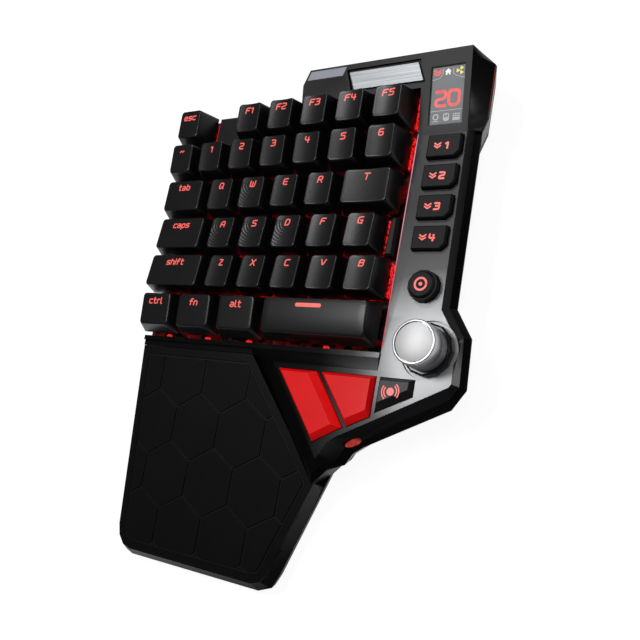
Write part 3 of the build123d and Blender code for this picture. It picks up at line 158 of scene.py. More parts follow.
@dataclass(frozen=True)
class Moulded:
    """A moulded plastic or rubber: fine grain from its tool, and a little uneven in tone and gloss."""

    name: str
    colour: str
    second: str
    roughness: float = 0.5
    specular: float = 0.3
    ior: float = 1.53
    uneven: float = 0.05
    cloud_mm: float = 14.0
    grain_mm: float = 0.22
    grain_depth_mm: float = 0.012
    grain_strength: float = 0.6
    coat: float = 0.0
    coat_roughness: float = 0.1
    # A red glow painted on as emission: painted light for the lamps' light falling on the part.
    back_glow: str | None = None
    glow_low_mm: float = 23.6
    glow_high_mm: float = 27.5
    glow_mottle_mm: float = 9.0
    glow_strength: float = 0.08
    glow_from: float = 0.46
    glow_full: float = 0.7

    def material(self) -> bpy.types.Material:
        """Build the material: one noise for tone, and a finer one for gloss and grain."""
        made, tree = new_material(self.name)
        place = add_node(tree, "ShaderNodeTexCoord").outputs["Object"]
        cloud = add_node(tree, "ShaderNodeTexNoise",
                         {"Scale": 1 / (self.cloud_mm * MM), "Detail": 2.0}, {"Vector": place})
        scale = 1 / (self.grain_mm * GRAINS_IN_UNIT * MM)
        grain = add_node(tree, "ShaderNodeTexNoise", {"Scale": scale, "Detail": 1.0}, {"Vector": place})
        tone = add_node(tree, "ShaderNodeValToRGB", {}, {"Fac": cloud},
                        ((TONE_LOW, self.colour), (TONE_HIGH, self.second)))
        gloss = add_node(tree, "ShaderNodeMapRange", {"To Min": self.roughness - self.uneven,
                          "To Max": self.roughness + self.uneven}, {"Value": grain})
        bump = add_node(tree, "ShaderNodeBump",
                        {"Strength": self.grain_strength, "Distance": self.grain_depth_mm * MM},
                        {"Height": grain})
        shader = add_node(tree, "ShaderNodeBsdfPrincipled",
                          {"IOR": self.ior, "Specular IOR Level": self.specular,
                           "Coat Weight": self.coat, "Coat Roughness": self.coat_roughness},
                          {"Base Color": tone, "Roughness": gloss, "Normal": bump})
        if self.back_glow:
            self.add_glow(tree, place, shader)
        return surfaced(made, shader)

    def add_glow(self, tree: Tree, place: Socket, shader: bpy.types.Node) -> None:
        """Add painted light for the red light from below: mottled, and fading with height.

        Args:
            tree: the material's tree.
            place: object coordinates.
            shader: the shader that gets the light.
        """
        height = add_node(tree, "ShaderNodeSeparateXYZ", {}, {"Vector": place}).outputs["Z"]
        fade = add_node(tree, "ShaderNodeMapRange",
                        {"From Min": self.glow_high_mm * MM, "From Max": self.glow_low_mm * MM,
                         "interpolation_type": "SMOOTHSTEP"}, {"Value": height})
        mottle = add_node(tree, "ShaderNodeTexNoise",
                          {"Scale": 1 / (self.glow_mottle_mm * MM), "Detail": 3.0}, {"Vector": place})
        patch = add_node(tree, "ShaderNodeMapRange",
                         {"From Min": self.glow_from, "From Max": self.glow_full,
                          "To Max": self.glow_strength}, {"Value": mottle})
        amount = add_node(tree, "ShaderNodeMath", {"operation": "MULTIPLY"}, {0: fade, 1: patch})
        shader.inputs["Emission Color"].default_value = srgb(self.back_glow)
        tree.links.new(amount.outputs[0], shader.inputs["Emission Strength"])


@dataclass(frozen=True)
class Metal:
    """Turned, cast or drawn metal, with brush lines along its UV map or across one axis."""

    name: str
    colour: str
    second: str
    roughness: float
    line_mm: float
    uneven: float = 0.06
    anisotropy: float = 0.0
    turned: bool = False
    lines_across: float = 30.0
    cast_mm: float = 0.0
    knurl: tuple[float, float] | None = None
    knurl_shade: float = 0.75
    bump_mm: float = 0.1
    bump_fine: float = 0.1
    bump_coarse: float = 0.35

    def material(self) -> bpy.types.Material:
        """Build the material: fine lines in tone and gloss, and pits or a knurl where it has them."""
        made, tree = new_material(self.name)
        texture = add_node(tree, "ShaderNodeTexCoord").outputs
        place, around = texture["Object"], texture["UV"]
        across = 0.0 if self.turned else self.lines_across
        along = add_node(tree, "ShaderNodeMapping", {"Scale": (across, 1 / (self.line_mm * MM), across)},
                         {"Vector": around if self.turned else place})
        lines = add_node(tree, "ShaderNodeTexNoise", {"Scale": 1.0, "Detail": 3.0}, {"Vector": along})
        tone = add_node(tree, "ShaderNodeValToRGB", {}, {"Fac": lines},
                        ((TONE_LOW, self.colour), (TONE_HIGH, self.second)))
        gloss = add_node(tree, "ShaderNodeMapRange", {"To Min": self.roughness - self.uneven,
                          "To Max": self.roughness + self.uneven}, {"Value": lines})
        height, shades = lines.outputs[0], tone.outputs[0]
        if self.cast_mm:
            height = add_node(tree, "ShaderNodeTexNoise",
                              {"Scale": 1 / (self.cast_mm * MM), "Detail": 3.0},
                              {"Vector": place}).outputs[0]
        if self.knurl:
            height = self.diamonds(tree, around)
            # Painted shade: the knurl's valleys are painted darker than its peaks.
            shades = add_node(tree, "ShaderNodeMix",
                              {"data_type": "RGBA", "blend_type": "MULTIPLY", 0: self.knurl_shade},
                              {6: shades, 7: height}).outputs[2]
        coarse = self.cast_mm or self.knurl
        bump = add_node(tree, "ShaderNodeBump",
                        {"Strength": self.bump_coarse if coarse else self.bump_fine,
                         "Distance": self.bump_mm * MM}, {"Height": height})
        shader = add_node(tree, "ShaderNodeBsdfPrincipled",
                          {"Metallic": 1.0, "Anisotropic": self.anisotropy},
                          {"Base Color": shades, "Roughness": gloss, "Normal": bump})
        if self.turned:
            tangent = add_node(tree, "ShaderNodeTangent",
                               {"direction_type": "UV_MAP", "uv_map": "turned"})
            tree.links.new(tangent.outputs[0], shader.inputs["Tangent"])
        return surfaced(made, shader)

    def diamonds(self, tree: Tree, turned: Socket) -> Socket:
        """Heights of a diamond knurl: the product of two crossing rows of triangle waves.

        Args:
            tree: the material's tree.
            turned: the UV map, whose u is the share of a turn and v the length along the profile.
        Returns:
            The height, from zero to one.
        """
        count, row_mm = self.knurl
        peak = 0.5
        waves = []
        for sign in (1.0, -1.0):
            place = add_node(tree, "ShaderNodeVectorMath",
                             {"operation": "DOT_PRODUCT", 1: (count, sign / (row_mm * MM), 0.0)},
                             {0: turned})
            waves.append(add_node(tree, "ShaderNodeMath", {"operation": "PINGPONG", 1: peak},
                                  {0: place.outputs["Value"]}))
        both = add_node(tree, "ShaderNodeMath", {"operation": "MULTIPLY"}, {0: waves[0], 1: waves[1]})
        return add_node(tree, "ShaderNodeMath", {"operation": "MULTIPLY", 1: 1 / peak ** 2},
                        {0: both}).outputs[0]


@dataclass(frozen=True)
class Lit:
    """A surface lit from within, such as a legend, a lamp or a light guide, a little mottled."""

    name: str
    colour: str
    glow: str
    low: float
    high: float
    mottle_mm: float
    roughness: float = 0.35
    specular: float = 0.5
    noise_low: float = 0.35
    noise_high: float = 0.65
    front_glow: str | None = None
    front_mm: float = -20.0
    back_mm: float = 100.0

    def material(self) -> bpy.types.Material:
        """Build the material: light whose strength follows a noise of the mottle's real size.

        With a front glow, the light's colour runs from it at the front to the other at the back.
        """
        made, tree = new_material(self.name)
        place = add_node(tree, "ShaderNodeTexCoord").outputs["Object"]
        noise = add_node(tree, "ShaderNodeTexNoise",
                         {"Scale": 1 / (self.mottle_mm * MM), "Detail": 2.0}, {"Vector": place})
        level = add_node(tree, "ShaderNodeMapRange",
                         {"From Min": self.noise_low, "From Max": self.noise_high,
                          "To Min": self.low, "To Max": self.high}, {"Value": noise})
        shader = add_node(tree, "ShaderNodeBsdfPrincipled",
                          {"Base Color": srgb(self.colour), "Roughness": self.roughness,
                           "Specular IOR Level": self.specular, "Emission Color": srgb(self.glow)},
                          {"Emission Strength": level})
        if self.front_glow:
            depth = add_node(tree, "ShaderNodeSeparateXYZ", {}, {"Vector": place}).outputs["Y"]
            share = add_node(tree, "ShaderNodeMapRange",
                             {"From Min": self.front_mm * MM, "From Max": self.back_mm * MM},
                             {"Value": depth})
            run = add_node(tree, "ShaderNodeValToRGB", {}, {"Fac": share},
                           ((0.0, self.front_glow), (1.0, self.glow)))
            tree.links.new(run.outputs[0], shader.inputs["Emission Color"])
        return surfaced(made, shader)


@dataclass(frozen=True)
class Clear:
    """Clear moulded acrylic over the display: it shows what lies under it, with a soft reflection."""

    name: str
    roughness: float = 0.03
    ior: float = 1.49
    specular: float = 0.12
    haze_mm: float = 6.0

    def material(self) -> bpy.types.Material:
        """Build the material: full transmission, with faint unevenness in its gloss."""
        made, tree = new_material(self.name)
        place = add_node(tree, "ShaderNodeTexCoord").outputs["Object"]
        haze = add_node(tree, "ShaderNodeTexNoise", {"Scale": 1 / (self.haze_mm * MM)}, {"Vector": place})
        gloss = add_node(tree, "ShaderNodeMapRange",
                         {"To Min": self.roughness / 2, "To Max": self.roughness}, {"Value": haze})
        shader = add_node(tree, "ShaderNodeBsdfPrincipled",
                          {"Base Color": srgb("#ffffff"), "IOR": self.ior,
                           "Specular IOR Level": self.specular, "Transmission Weight": 1.0},
                          {"Roughness": gloss})
        return surfaced(made, shader)


@dataclass(frozen=True)
class CaseFinish:
    """The case: textured black ABS on the walls, and a satin metallic lacquer on the flat deck.

    The lacquer carries a painted highlight: it is dark grey by the display and painted lighter to
    silver grey round the knob, where the deck reflects the lamps. The painted highlight and sheen
    fade out on the thumb deck, to the front and the left.
    """

    name: str = "case_lacquered_abs"
    wall: str = "#050506"
    wall_second: str = "#0a0a0b"
    # The deck's colours: dark grey, painted lighter towards the knob as a painted highlight.
    deck_dark: str = "#29292a"
    deck_mid: str = "#4a4a4b"
    deck_light: str = "#a6a7a9"
    mid_share: float = 0.42
    knob_mm: tuple[float, float, float] = (69.5, -11.6, 21.5)
    bright_mm: float = 14.0
    dark_mm: float = 62.0
    grain_mm: float = 0.35
    cloud_mm: float = 18.0
    rear_mm: float = 82.0
    rear_lift: float = 0.016
    facing_up: tuple[float, float] = (0.991, 0.995)
    deck_height_mm: float = 21.6
    deck_band_mm: float = 1.1
    # Painted shade: the painted highlight and sheen fade out to the front and the left between these.
    thin_front_mm: tuple[float, float] = (-6.0, 2.0)
    thin_left_mm: tuple[float, float] = (20.0, 58.0)
    thinnest: float = 0.1
    # Painted shade: faces tilted this far from up keep this share of the lacquer and its painted
    # highlight.
    slope_up: tuple[float, float] = (0.982, 0.99)
    slope_share: float = 0.55
    flake: tuple[float, float] = (0.25, 0.1)
    wall_gloss: tuple[float, float] = (0.22, 0.3)
    lacquer_duller: float = 0.12
    grain_strength: float = 0.35
    grain_depth_mm: float = 0.012
    wall_up: tuple[float, float] = (0.6, 0.92)
    wall_sheen: tuple[float, float] = (0.03, 0.19)
    lacquer_sheen: float = 0.04
    ior: float = 1.53

    def material(self) -> bpy.types.Material:
        """Build the material: lacquer on the deck and the rear slope, bare plastic on the rest."""
        made, tree = new_material(self.name)
        place = add_node(tree, "ShaderNodeTexCoord").outputs["Object"]
        grain = add_node(tree, "ShaderNodeTexNoise",
                         {"Scale": 1 / (self.grain_mm * MM), "Detail": 1.0}, {"Vector": place})
        cloud = add_node(tree, "ShaderNodeTexNoise",
                         {"Scale": 1 / (self.cloud_mm * MM), "Detail": 2.0}, {"Vector": place})
        # Painted highlight: the deck's colour is painted lighter towards the knob, up to silver grey.
        centre = tuple(value * MM for value in self.knob_mm)
        reach = add_node(tree, "ShaderNodeVectorMath", {"operation": "DISTANCE", 1: centre},
                         {0: place}).outputs["Value"]
        near = add_node(tree, "ShaderNodeMapRange",
                        {"From Min": self.bright_mm * MM, "From Max": self.dark_mm * MM},
                        {"Value": reach})
        deck = add_node(tree, "ShaderNodeValToRGB", {}, {"Fac": near},
                        ((0.0, self.deck_light), (1.0, self.deck_dark), (self.mid_share, self.deck_mid)))
        wall = add_node(tree, "ShaderNodeValToRGB", {}, {"Fac": cloud},
                        ((0.0, self.wall), (1.0, self.wall_second)))
        normal = add_node(tree, "ShaderNodeNewGeometry").outputs["True Normal"]
        up = add_node(tree, "ShaderNodeSeparateXYZ", {}, {"Vector": normal}).outputs["Z"]
        split = add_node(tree, "ShaderNodeSeparateXYZ", {}, {"Vector": place})
        rear = add_node(tree, "ShaderNodeMath", {"operation": "GREATER_THAN", 1: self.rear_mm * MM},
                        {0: split.outputs["Y"]})
        flat = self.flat(tree, up, split, rear)
        # Painted shade: less painted highlight on the thumb deck, to the front and the left.
        sprayed = self.sprayed(tree, split)
        # Painted shade: faces tilted a little from up get less of the lacquer's colour and painted
        # highlight.
        sloped = add_node(tree, "ShaderNodeMapRange",
                          {"From Min": self.slope_up[0], "From Max": self.slope_up[1],
                           "To Min": self.slope_share}, {"Value": up})
        highlight_share = add_node(tree, "ShaderNodeMath", {"operation": "MULTIPLY"}, {0: sprayed, 1: sloped})
        lacquer = add_node(tree, "ShaderNodeMath", {"operation": "MULTIPLY"}, {0: flat, 1: highlight_share})
        colour = add_node(tree, "ShaderNodeMix", {"data_type": "RGBA"},
                          {0: lacquer, 6: wall, 7: deck}).outputs[2]
        flake = add_node(tree, "ShaderNodeMapRange",
                         {"To Min": self.flake[0], "To Max": self.flake[1]}, {"Value": rear})
        metal = add_node(tree, "ShaderNodeMath", {"operation": "MULTIPLY"}, {0: lacquer, 1: flake})
        uneven = add_node(tree, "ShaderNodeMapRange",
                          {"To Min": self.wall_gloss[0], "To Max": self.wall_gloss[1]}, {"Value": grain})
        gloss = add_node(tree, "ShaderNodeMath", {"operation": "MULTIPLY_ADD", 1: self.lacquer_duller},
                         {0: flat, 2: uneven})
        bump = add_node(tree, "ShaderNodeBump",
                        {"Strength": self.grain_strength, "Distance": self.grain_depth_mm * MM},
                        {"Height": grain})
        shader = add_node(tree, "ShaderNodeBsdfPrincipled", {"IOR": self.ior},
                          {"Base Color": colour, "Metallic": metal, "Roughness": gloss,
                           "Specular IOR Level": self.sheen(tree, up, sprayed, lacquer), "Normal": bump})
        return surfaced(made, shader)

    def flat(self, tree: Tree, up: Socket, split: bpy.types.Node, rear: bpy.types.Node) -> bpy.types.Node:
        """Where the lacquer and its painted highlight may lie: on faces that look straight up at the
        deck's own height.

        Behind the crease a lift is added to the normal's height, so that the rear slope passes the
        same test and the rounded edges don't.

        Args:
            tree: the material's tree.
            up: the height of the face's normal.
            split: the place's three parts.
            rear: one behind the crease.
        Returns:
            One on the flats and zero elsewhere.
        """
        lift = add_node(tree, "ShaderNodeMath", {"operation": "MULTIPLY_ADD", 1: self.rear_lift},
                        {0: rear, 2: up})
        facing = add_node(tree, "ShaderNodeMapRange",
                          {"From Min": self.facing_up[0], "From Max": self.facing_up[1],
                           "interpolation_type": "SMOOTHSTEP"}, {"Value": lift})
        level = add_node(tree, "ShaderNodeMath", {"operation": "COMPARE", 1: self.deck_height_mm * MM,
                          2: self.deck_band_mm * MM}, {0: split.outputs["Z"]})
        allowed = add_node(tree, "ShaderNodeMath", {"operation": "MAXIMUM"}, {0: level, 1: rear})
        return add_node(tree, "ShaderNodeMath", {"operation": "MULTIPLY"}, {0: facing, 1: allowed})

    def sprayed(self, tree: Tree, split: bpy.types.Node) -> bpy.types.Node:
        """Painted shade: how much painted highlight and sheen is kept, less at the front left."""
        (front, behind), (left, right) = self.thin_front_mm, self.thin_left_mm
        back = add_node(tree, "ShaderNodeMapRange", {"From Min": front * MM, "From Max": behind * MM},
                        {"Value": split.outputs["Y"]})
        across = add_node(tree, "ShaderNodeMapRange",
                          {"From Min": left * MM, "From Max": right * MM, "To Min": self.thinnest},
                          {"Value": split.outputs["X"]})
        return add_node(tree, "ShaderNodeMath", {"operation": "MAXIMUM"}, {0: back, 1: across})

    def sheen(self, tree: Tree, up: Socket, sprayed: bpy.types.Node,
              lacquer: bpy.types.Node) -> bpy.types.Node:
        """The reflection's strength: more on faces that look up, and a little more on the lacquer."""
        slope = add_node(tree, "ShaderNodeMapRange",
                         {"From Min": self.wall_up[0], "From Max": self.wall_up[1],
                          "To Min": self.wall_sheen[0], "To Max": self.wall_sheen[1]}, {"Value": up})
        dulled = add_node(tree, "ShaderNodeMath", {"operation": "MULTIPLY"}, {0: slope, 1: sprayed})
        return add_node(tree, "ShaderNodeMath", {"operation": "MULTIPLY_ADD", 1: self.lacquer_sheen},
                        {0: lacquer, 2: dulled})


Finish = Moulded | Metal | Lit | Clear | CaseFinish

# Finishes. Each is named for its material and how its surface was made.
# The keycaps carry a painted red glow low on their flanks, for the light from below.
KEYCAP = Moulded("keycap_coated_abs", "#08080a", "#0c0c0e", roughness=0.3, specular=0.28,
                 back_glow="#d01410")
MACRO = Moulded("button_coated_abs", "#0e0e0f", "#131314", roughness=0.42, specular=0.1)
RED = Moulded("thumb_key_gloss_abs", "#dd0a0e", "#e60e12", roughness=0.38, specular=0.1,
              grain_mm=0.4, grain_depth_mm=0.004, coat=0.04, coat_roughness=0.12)
DARK = Moulded("thumb_key_dark_abs", "#0e0e0f", "#131314", roughness=0.36, specular=0.22,
               grain_depth_mm=0.006)
PALM = Moulded("palm_rest_textured_abs", "#040405", "#060607", roughness=0.42, specular=0.12)
# Painted light: the groove rubber is painted lighter than the tiles, so the shaded grooves show as faint
# lines.
GROOVE_PAINTED_LIGHT = Moulded("palm_pad_groove_rubber", "#0b0b0c", "#0f0f10", roughness=0.55, specular=0.2, ior=1.5)
PAD = Moulded("palm_pad_moulded_rubber", "#060607", "#080809", roughness=0.55, specular=0.1,
              ior=1.5, grain_mm=0.3, grain_depth_mm=0.02)
UNDER = Moulded("bottom_shell_textured_abs", "#050506", "#090909", roughness=0.55, specular=0.15)
FEET = Moulded("foot_silicone_rubber", "#0a0a0a", "#0f0f0f", roughness=0.8, specular=0.15)
SWITCH = Moulded("switch_nylon", "#151516", "#1b1b1c", roughness=0.5)
# The switch plate and the housings carry a painted red glow, for the light of the lamps on them.
PLATE = Moulded("switch_plate_coated_steel", "#060606", "#0a0a0a", roughness=0.5, specular=0.2,
                back_glow="#ff1408", glow_low_mm=17.7, glow_high_mm=18.4, glow_mottle_mm=5.0,
                glow_strength=0.1)
HOUSING = Moulded("switch_housing_nylon", "#120304", "#1a0405", roughness=0.5, specular=0.2,
                  back_glow="#ff1208", glow_low_mm=17.0, glow_high_mm=25.0, glow_mottle_mm=3.5,
                  glow_strength=0.4)
BOARD = Moulded("board_solder_mask", "#0b3a1c", "#0e4522", roughness=0.35, specular=0.5)
MODULE = Moulded("module_housing_abs", "#101112", "#161618", roughness=0.5, specular=0.2)
STEEL = Metal("connector_drawn_steel", "#9a9a9c", "#b4b4b6", 0.3, 0.25)
SCREW = Metal("screw_blackened_steel", "#3b3b3d", "#4a4a4c", 0.4, 0.2)
ENCODER = Metal("encoder_plated_steel", "#8d8d90", "#a8a8aa", 0.35, 0.25)
BADGE = Metal("badge_cast_aluminium", "#76787b", "#a4a6a8", 0.45, 0.3, cast_mm=0.9)
SPUN = Metal("knob_spun_aluminium", "#bcbcbd", "#cccccd", 0.58, 0.12, turned=True)
RING = Metal("knob_turned_aluminium", "#a8a9ab", "#bcbcbe", 0.35, 0.4, turned=True)
SIDE = Metal("knob_anodised_aluminium", "#a8a8ac", "#bababe", 0.38, 0.3, anisotropy=0.4, turned=True)
# The real knurl is about half as wide. It is drawn coarser, so that a render blurs it less.
KNURL = Metal("knob_knurled_aluminium", "#b4b4b8", "#cacacd", 0.4, 0.3, turned=True, knurl=(60.0, 1.0))
COLLAR = Moulded("knob_collar_gloss_abs", "#0a0a0b", "#0f0f10", roughness=0.22, specular=0.4)
LEGEND = Lit("legend_lit_polycarbonate", "#4a0c0a", "#ff6a62", 0.88, 1.0, 2.0)
# Painted light: the gap bars glow where red light from below shows between the keys.
GAP_GLOW_PAINTED = Lit("edge_light_guide", "#200404", "#ff1a16", 0.0, 1.3, 1.1)
LENS_LIT = Lit("lamp_lens", "#500808", "#ff2a22", 0.5, 1.1, 0.8, roughness=0.15)
STRIP_LIT = Lit("panel_edge_light_guide", "#2a1016", "#d8506a", 0.15, 0.6, 9.0)
FLANK_LIT = Lit("flank_light_guide", "#200604", "#c83008", 0.08, 0.4, 7.0, roughness=0.6, specular=0.02)
DECK_LIT = Lit("deck_edge_light_guide", "#281418", "#e8c4e0", 0.45, 0.8, 12.0, front_glow="#e01818")
WINDOW_GREY = Lit("rear_window_frosted_acrylic", "#8a8d96", "#a2a5ae", 0.06, 0.1, 10.0, roughness=0.3)
OVAL_LIT = Lit("oval_lens_tinted_acrylic", "#300806", "#c83c2c", 0.1, 0.75, 2.2, roughness=0.3,
               specular=0.06)
SCREEN = Lit("display_backlit_field", "#0c0c0d", "#5e6062", 0.92, 1.0, 12.0)
SCREEN_RED = Lit("display_red_segments", "#100404", "#f0504e", 0.95, 1.0, 5.0)
SCREEN_WHITE = Lit("display_white_segments", "#0c0c0d", "#f4f4f4", 0.9, 0.96, 5.0)
SCREEN_PALE = Lit("display_pale_segments", "#0c0c0d", "#aeb0b2", 0.85, 0.92, 5.0)
SCREEN_YELLOW = Lit("display_yellow_segments", "#0c0c0d", "#e8e060", 0.9, 0.98, 5.0)
WINDOW = Clear("display_window_clear_acrylic")

_made: dict[str, bpy.types.Material] = {}


def finish_of(kind: Finish) -> bpy.types.Material:
    """Return a finish's material, built once."""
    if kind.name not in _made:
        _made[kind.name] = kind.material()
    return _made[kind.name]


@dataclass
class Shape:
    """Points in millimetres with the faces that join them."""

    points: np.ndarray
    faces: list[tuple[int, ...]]
    turned: np.ndarray | None = None

    @staticmethod
    def joined(shapes: list["Shape"]) -> "Shape":
        """Put several shapes into one, each with its own points."""
        starts = np.cumsum([0] + [len(s.points) for s in shapes[:-1]])
        faces = [tuple(i + start for i in face) for s, start in zip(shapes, starts) for face in s.faces]
        return Shape(np.concatenate([s.points for s in shapes]), faces)

    def moved(self, *offset: float) -> "Shape":
        """The same shape moved by x, y and z, without a UV map."""
        return Shape(self.points + offset, self.faces)

    def build(self, name: str, finish: Finish, body: str, slot: str,
              crease_deg: float = 32.0) -> bpy.types.Object:
        """Make the mesh and its object, and let it ride on a body.

        Args:
            name: the piece's name.
            finish: what it is made of.
            body: the moving group that carries it.
            slot: the record's material slot; not used.
            crease_deg: edges sharper than this stay sharp.
        Returns:
            The new object.
        """
        mesh = bpy.data.meshes.new(name)
        mesh.from_pydata((self.points * MM).tolist(), [], self.faces)
        mesh.shade_smooth()
        mesh.set_sharp_from_angle(angle=math.radians(crease_deg))
        if self.turned is not None:
            layer = mesh.uv_layers.new(name="turned")
            corners = np.zeros(len(mesh.loops), np.int32)
            mesh.loops.foreach_get("vertex_index", corners)
            layer.data.foreach_set("uv", self.turned[corners].ravel())
        mesh.materials.append(finish_of(finish))
        made = placed(name, mesh)
        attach(made, body)
        LOG.info("built %s with %d faces on %s", name, len(self.faces), body)
        return made


def stacked(rings: np.ndarray) -> Shape:
    """Close a solid round a stack of rings: quads between neighbours and a fan at each end.

    Args:
        rings: levels by points by three, each ring counterclockwise seen from above.
    Returns:
        The closed shape.
    """
    levels, count, _ = rings.shape
    i, j = np.meshgrid(np.arange(levels - 1), np.arange(count), indexing="ij")
    k = (j + 1) % count
    quads = np.stack([i * count + j, i * count + k, (i + 1) * count + k, (i + 1) * count + j], -1)
    points = np.concatenate([rings.reshape(-1, 3), [rings[0].mean(0), rings[-1].mean(0)]])
    low, high, last = levels * count, levels * count + 1, (levels - 1) * count
    around = np.arange(count)
    after = (around + 1) % count
    bottom = np.stack([np.full(count, low), after, around], -1)
    top = np.stack([np.full(count, high), last + around, last + after], -1)
    faces = [tuple(face) for part in (quads.reshape(-1, 4), bottom, top) for face in part.tolist()]
    return Shape(points, faces)


def lathed(profile: list[Pair], centre: Pair, sides: int) -> Shape:
    """Turn a profile round a vertical axis: each ring is the radius times (cosine, sine).

    Args:
        profile: radius and height, from the bottom's middle to the top's middle.
        centre: the axis in plan.
        sides: points round a ring.
    Returns:
        The closed shape, with the share of a turn and the length along the profile as its UV map.
    """
    around = np.arange(sides) * math.tau / sides
    line = np.array(profile)
    radius, height = line[:, :1], line[:, 1:]
    rings = np.stack([centre[0] + radius * np.cos(around), centre[1] + radius * np.sin(around),
                      np.repeat(height, sides, 1)], -1)
    shape = stacked(rings)
    lengths = np.concatenate([[0], np.cumsum(np.hypot(*np.diff(line, axis=0).T))]) * MM
    u = np.append(np.tile(around / math.tau, len(line)), [0, 0])
    v = np.append(np.repeat(lengths, sides), [0, lengths[-1]])
    shape.turned = np.stack([u, v], -1).astype(np.float32)
    return shape


def rounded_ring(low: Pair, high: Pair, radius: float, per_corner: int = 6,
                 per_edge: int = 10) -> np.ndarray:
    """Points of a rounded rectangle: quarter circles at the corners, even steps along the edges.

    Args:
        low, high: opposite corners in plan.
        radius: corner radius, kept just under half the shorter side.
        per_corner: steps in each quarter circle.
        per_edge: steps along each straight edge.
    Returns:
        The ring, counterclockwise from the low corner's right end, as points by two.
    """
    just_over_two = 2.01
    r = min(radius, (high[0] - low[0]) / just_over_two, (high[1] - low[1]) / just_over_two)
    middles = [(high[0] - r, low[1] + r), (high[0] - r, high[1] - r), (low[0] + r, high[1] - r),
               (low[0] + r, low[1] + r)]
    turn = np.linspace(0, math.pi / 2, per_corner + 1)
    arcs = [np.array(m) + r * np.stack([np.cos(turn + a), np.sin(turn + a)], -1)
            for m, a in zip(middles, (-math.pi / 2, 0, math.pi / 2, math.pi))]
    share = np.linspace(0, 1, per_edge + 1)[1:-1, None]
    parts = []
    for arc_points, following in zip(arcs, arcs[1:] + arcs[:1]):
        parts += [arc_points, arc_points[-1] + (following[0] - arc_points[-1]) * share]
    return np.concatenate(parts)


def inset_polygon(points: np.ndarray, distance: float) -> np.ndarray:
    """Move every edge of a counterclockwise polygon inwards: each corner goes along its mitre."""
    before, after = np.roll(points, 1, 0), np.roll(points, -1, 0)
    first = (points - before) / np.linalg.norm(points - before, axis=1, keepdims=True)
    second = (after - points) / np.linalg.norm(after - points, axis=1, keepdims=True)
    mitre = np.stack([-first[:, 1] - second[:, 1], first[:, 0] + second[:, 0]], -1)
    return points + mitre * distance * 2 / (mitre ** 2).sum(1, keepdims=True)


def node_points(node: str) -> np.ndarray:
    """All corners of a node's mesh, in millimetres."""
    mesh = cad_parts[node].data
    found = np.zeros(len(mesh.vertices) * 3)
    mesh.vertices.foreach_get("co", found)
    return found.reshape(-1, 3) / MM


def node_box(node: str) -> tuple[np.ndarray, np.ndarray]:
    """Lowest and highest corner of a node, in millimetres."""
    low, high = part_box(node)
    return np.array(low) / MM, np.array(high) / MM


def softened(node: str, finish: Finish, width_mm: float, body: str) -> bpy.types.Object:
    """Copy a node's mesh, join its loose triangles and round its edges as a mould leaves them.

    Args:
        node: the node that the copy stands for.
        finish: what it is made of.
        width_mm: width of the rounded edge.
        body: the moving group that carries it.
    Returns:
        The new piece.
    """
    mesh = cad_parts[node].data.copy()
    mesh.name = f"{node}_softened"
    work = bmesh.new()
    work.from_mesh(mesh)
    bmesh.ops.remove_doubles(work, verts=work.verts, dist=WELD_MM * MM)
    bmesh.ops.dissolve_limit(work, angle_limit=math.radians(FLAT_DEG), verts=work.verts, edges=work.edges)
    work.to_mesh(mesh)
    work.free()
    mesh.shade_smooth()
    mesh.set_sharp_from_angle(angle=math.radians(SHARP_DEG))
    mesh.materials.clear()
    mesh.materials.append(finish_of(finish))
    made = placed(f"{node}_moulded", mesh)
    edge = made.modifiers.new("edge", "BEVEL")
    edge.width = width_mm * MM
    edge.segments = ROUNDING_STEPS
    edge.limit_method = "ANGLE"
    edge.angle_limit = math.radians(ROUNDED_DEG)
    edge.harden_normals = True
    edge.use_clamp_overlap = True
    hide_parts(node)
    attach(made, body)
    LOG.info("softened %s", node)
    return made


def dress(node: str, finish: Finish) -> None:
    """Give a node that stays as it is its material."""
    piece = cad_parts[node]
    piece.data.materials.clear()
    piece.data.materials.append(finish_of(finish))
    LOG.info("dressed %s", node)


def rounded_line(line: np.ndarray, rounds: int = 2) -> np.ndarray:
    """Cut a line's corners: in each round, a corner gives way to two points near it on its sides."""
    for _ in range(rounds if len(line) > 2 else 0):
        first, second = line[:-1], line[1:]
        step = (second - first) * CUT_SHARE
        cut = np.stack([first + step, second - step], 1).reshape(-1, 2)
        line = np.concatenate([line[:1], cut[1:-1], line[-1:]])
    return line


def ribbon(line: np.ndarray | tuple | list[Pair], width: float, thickness: float) -> Shape:
    """Carry a flat rectangle along a line in plan, mitred at its corners and square at its ends.

    Args:
        line: points by two.
        width: across the ribbon.
        thickness: its height, from zero upwards.
    Returns:
        The closed ribbon.
    """
    line = np.array(line, float)
    step = np.diff(line, axis=0)
    step /= np.linalg.norm(step, axis=1, keepdims=True)
    line[0] -= step[0] * width * END_SHARE
    line[-1] += step[-1] * width * END_SHARE
    ahead = np.concatenate([step, step[-1:]])
    behind = np.concatenate([step[:1], step])
    middle = ahead + behind
    middle /= np.linalg.norm(middle, axis=1, keepdims=True)
    normal = np.stack([-middle[:, 1], middle[:, 0]], -1)
    mitre = np.minimum(1 / np.maximum((middle * ahead).sum(1), LEAST_COSINE), WIDEST_MITRE)
    spread = mitre[:, None] * width / 2
    left, right = line + normal * spread, line - normal * spread
    low = np.zeros((len(line), 1))
    high = low + thickness
    return stacked(np.stack([np.hstack([left, low]), np.hstack([right, low]),
                             np.hstack([right, high]), np.hstack([left, high])], 1))


def plate(outline: np.ndarray | tuple | list[Pair], thickness: float) -> Shape:
    """A flat plate standing on zero, with a counterclockwise outline."""
    ring = np.hstack([np.array(outline, float), np.zeros((len(outline), 1))])
    return stacked(np.stack([ring, ring + (0, 0, thickness)]))


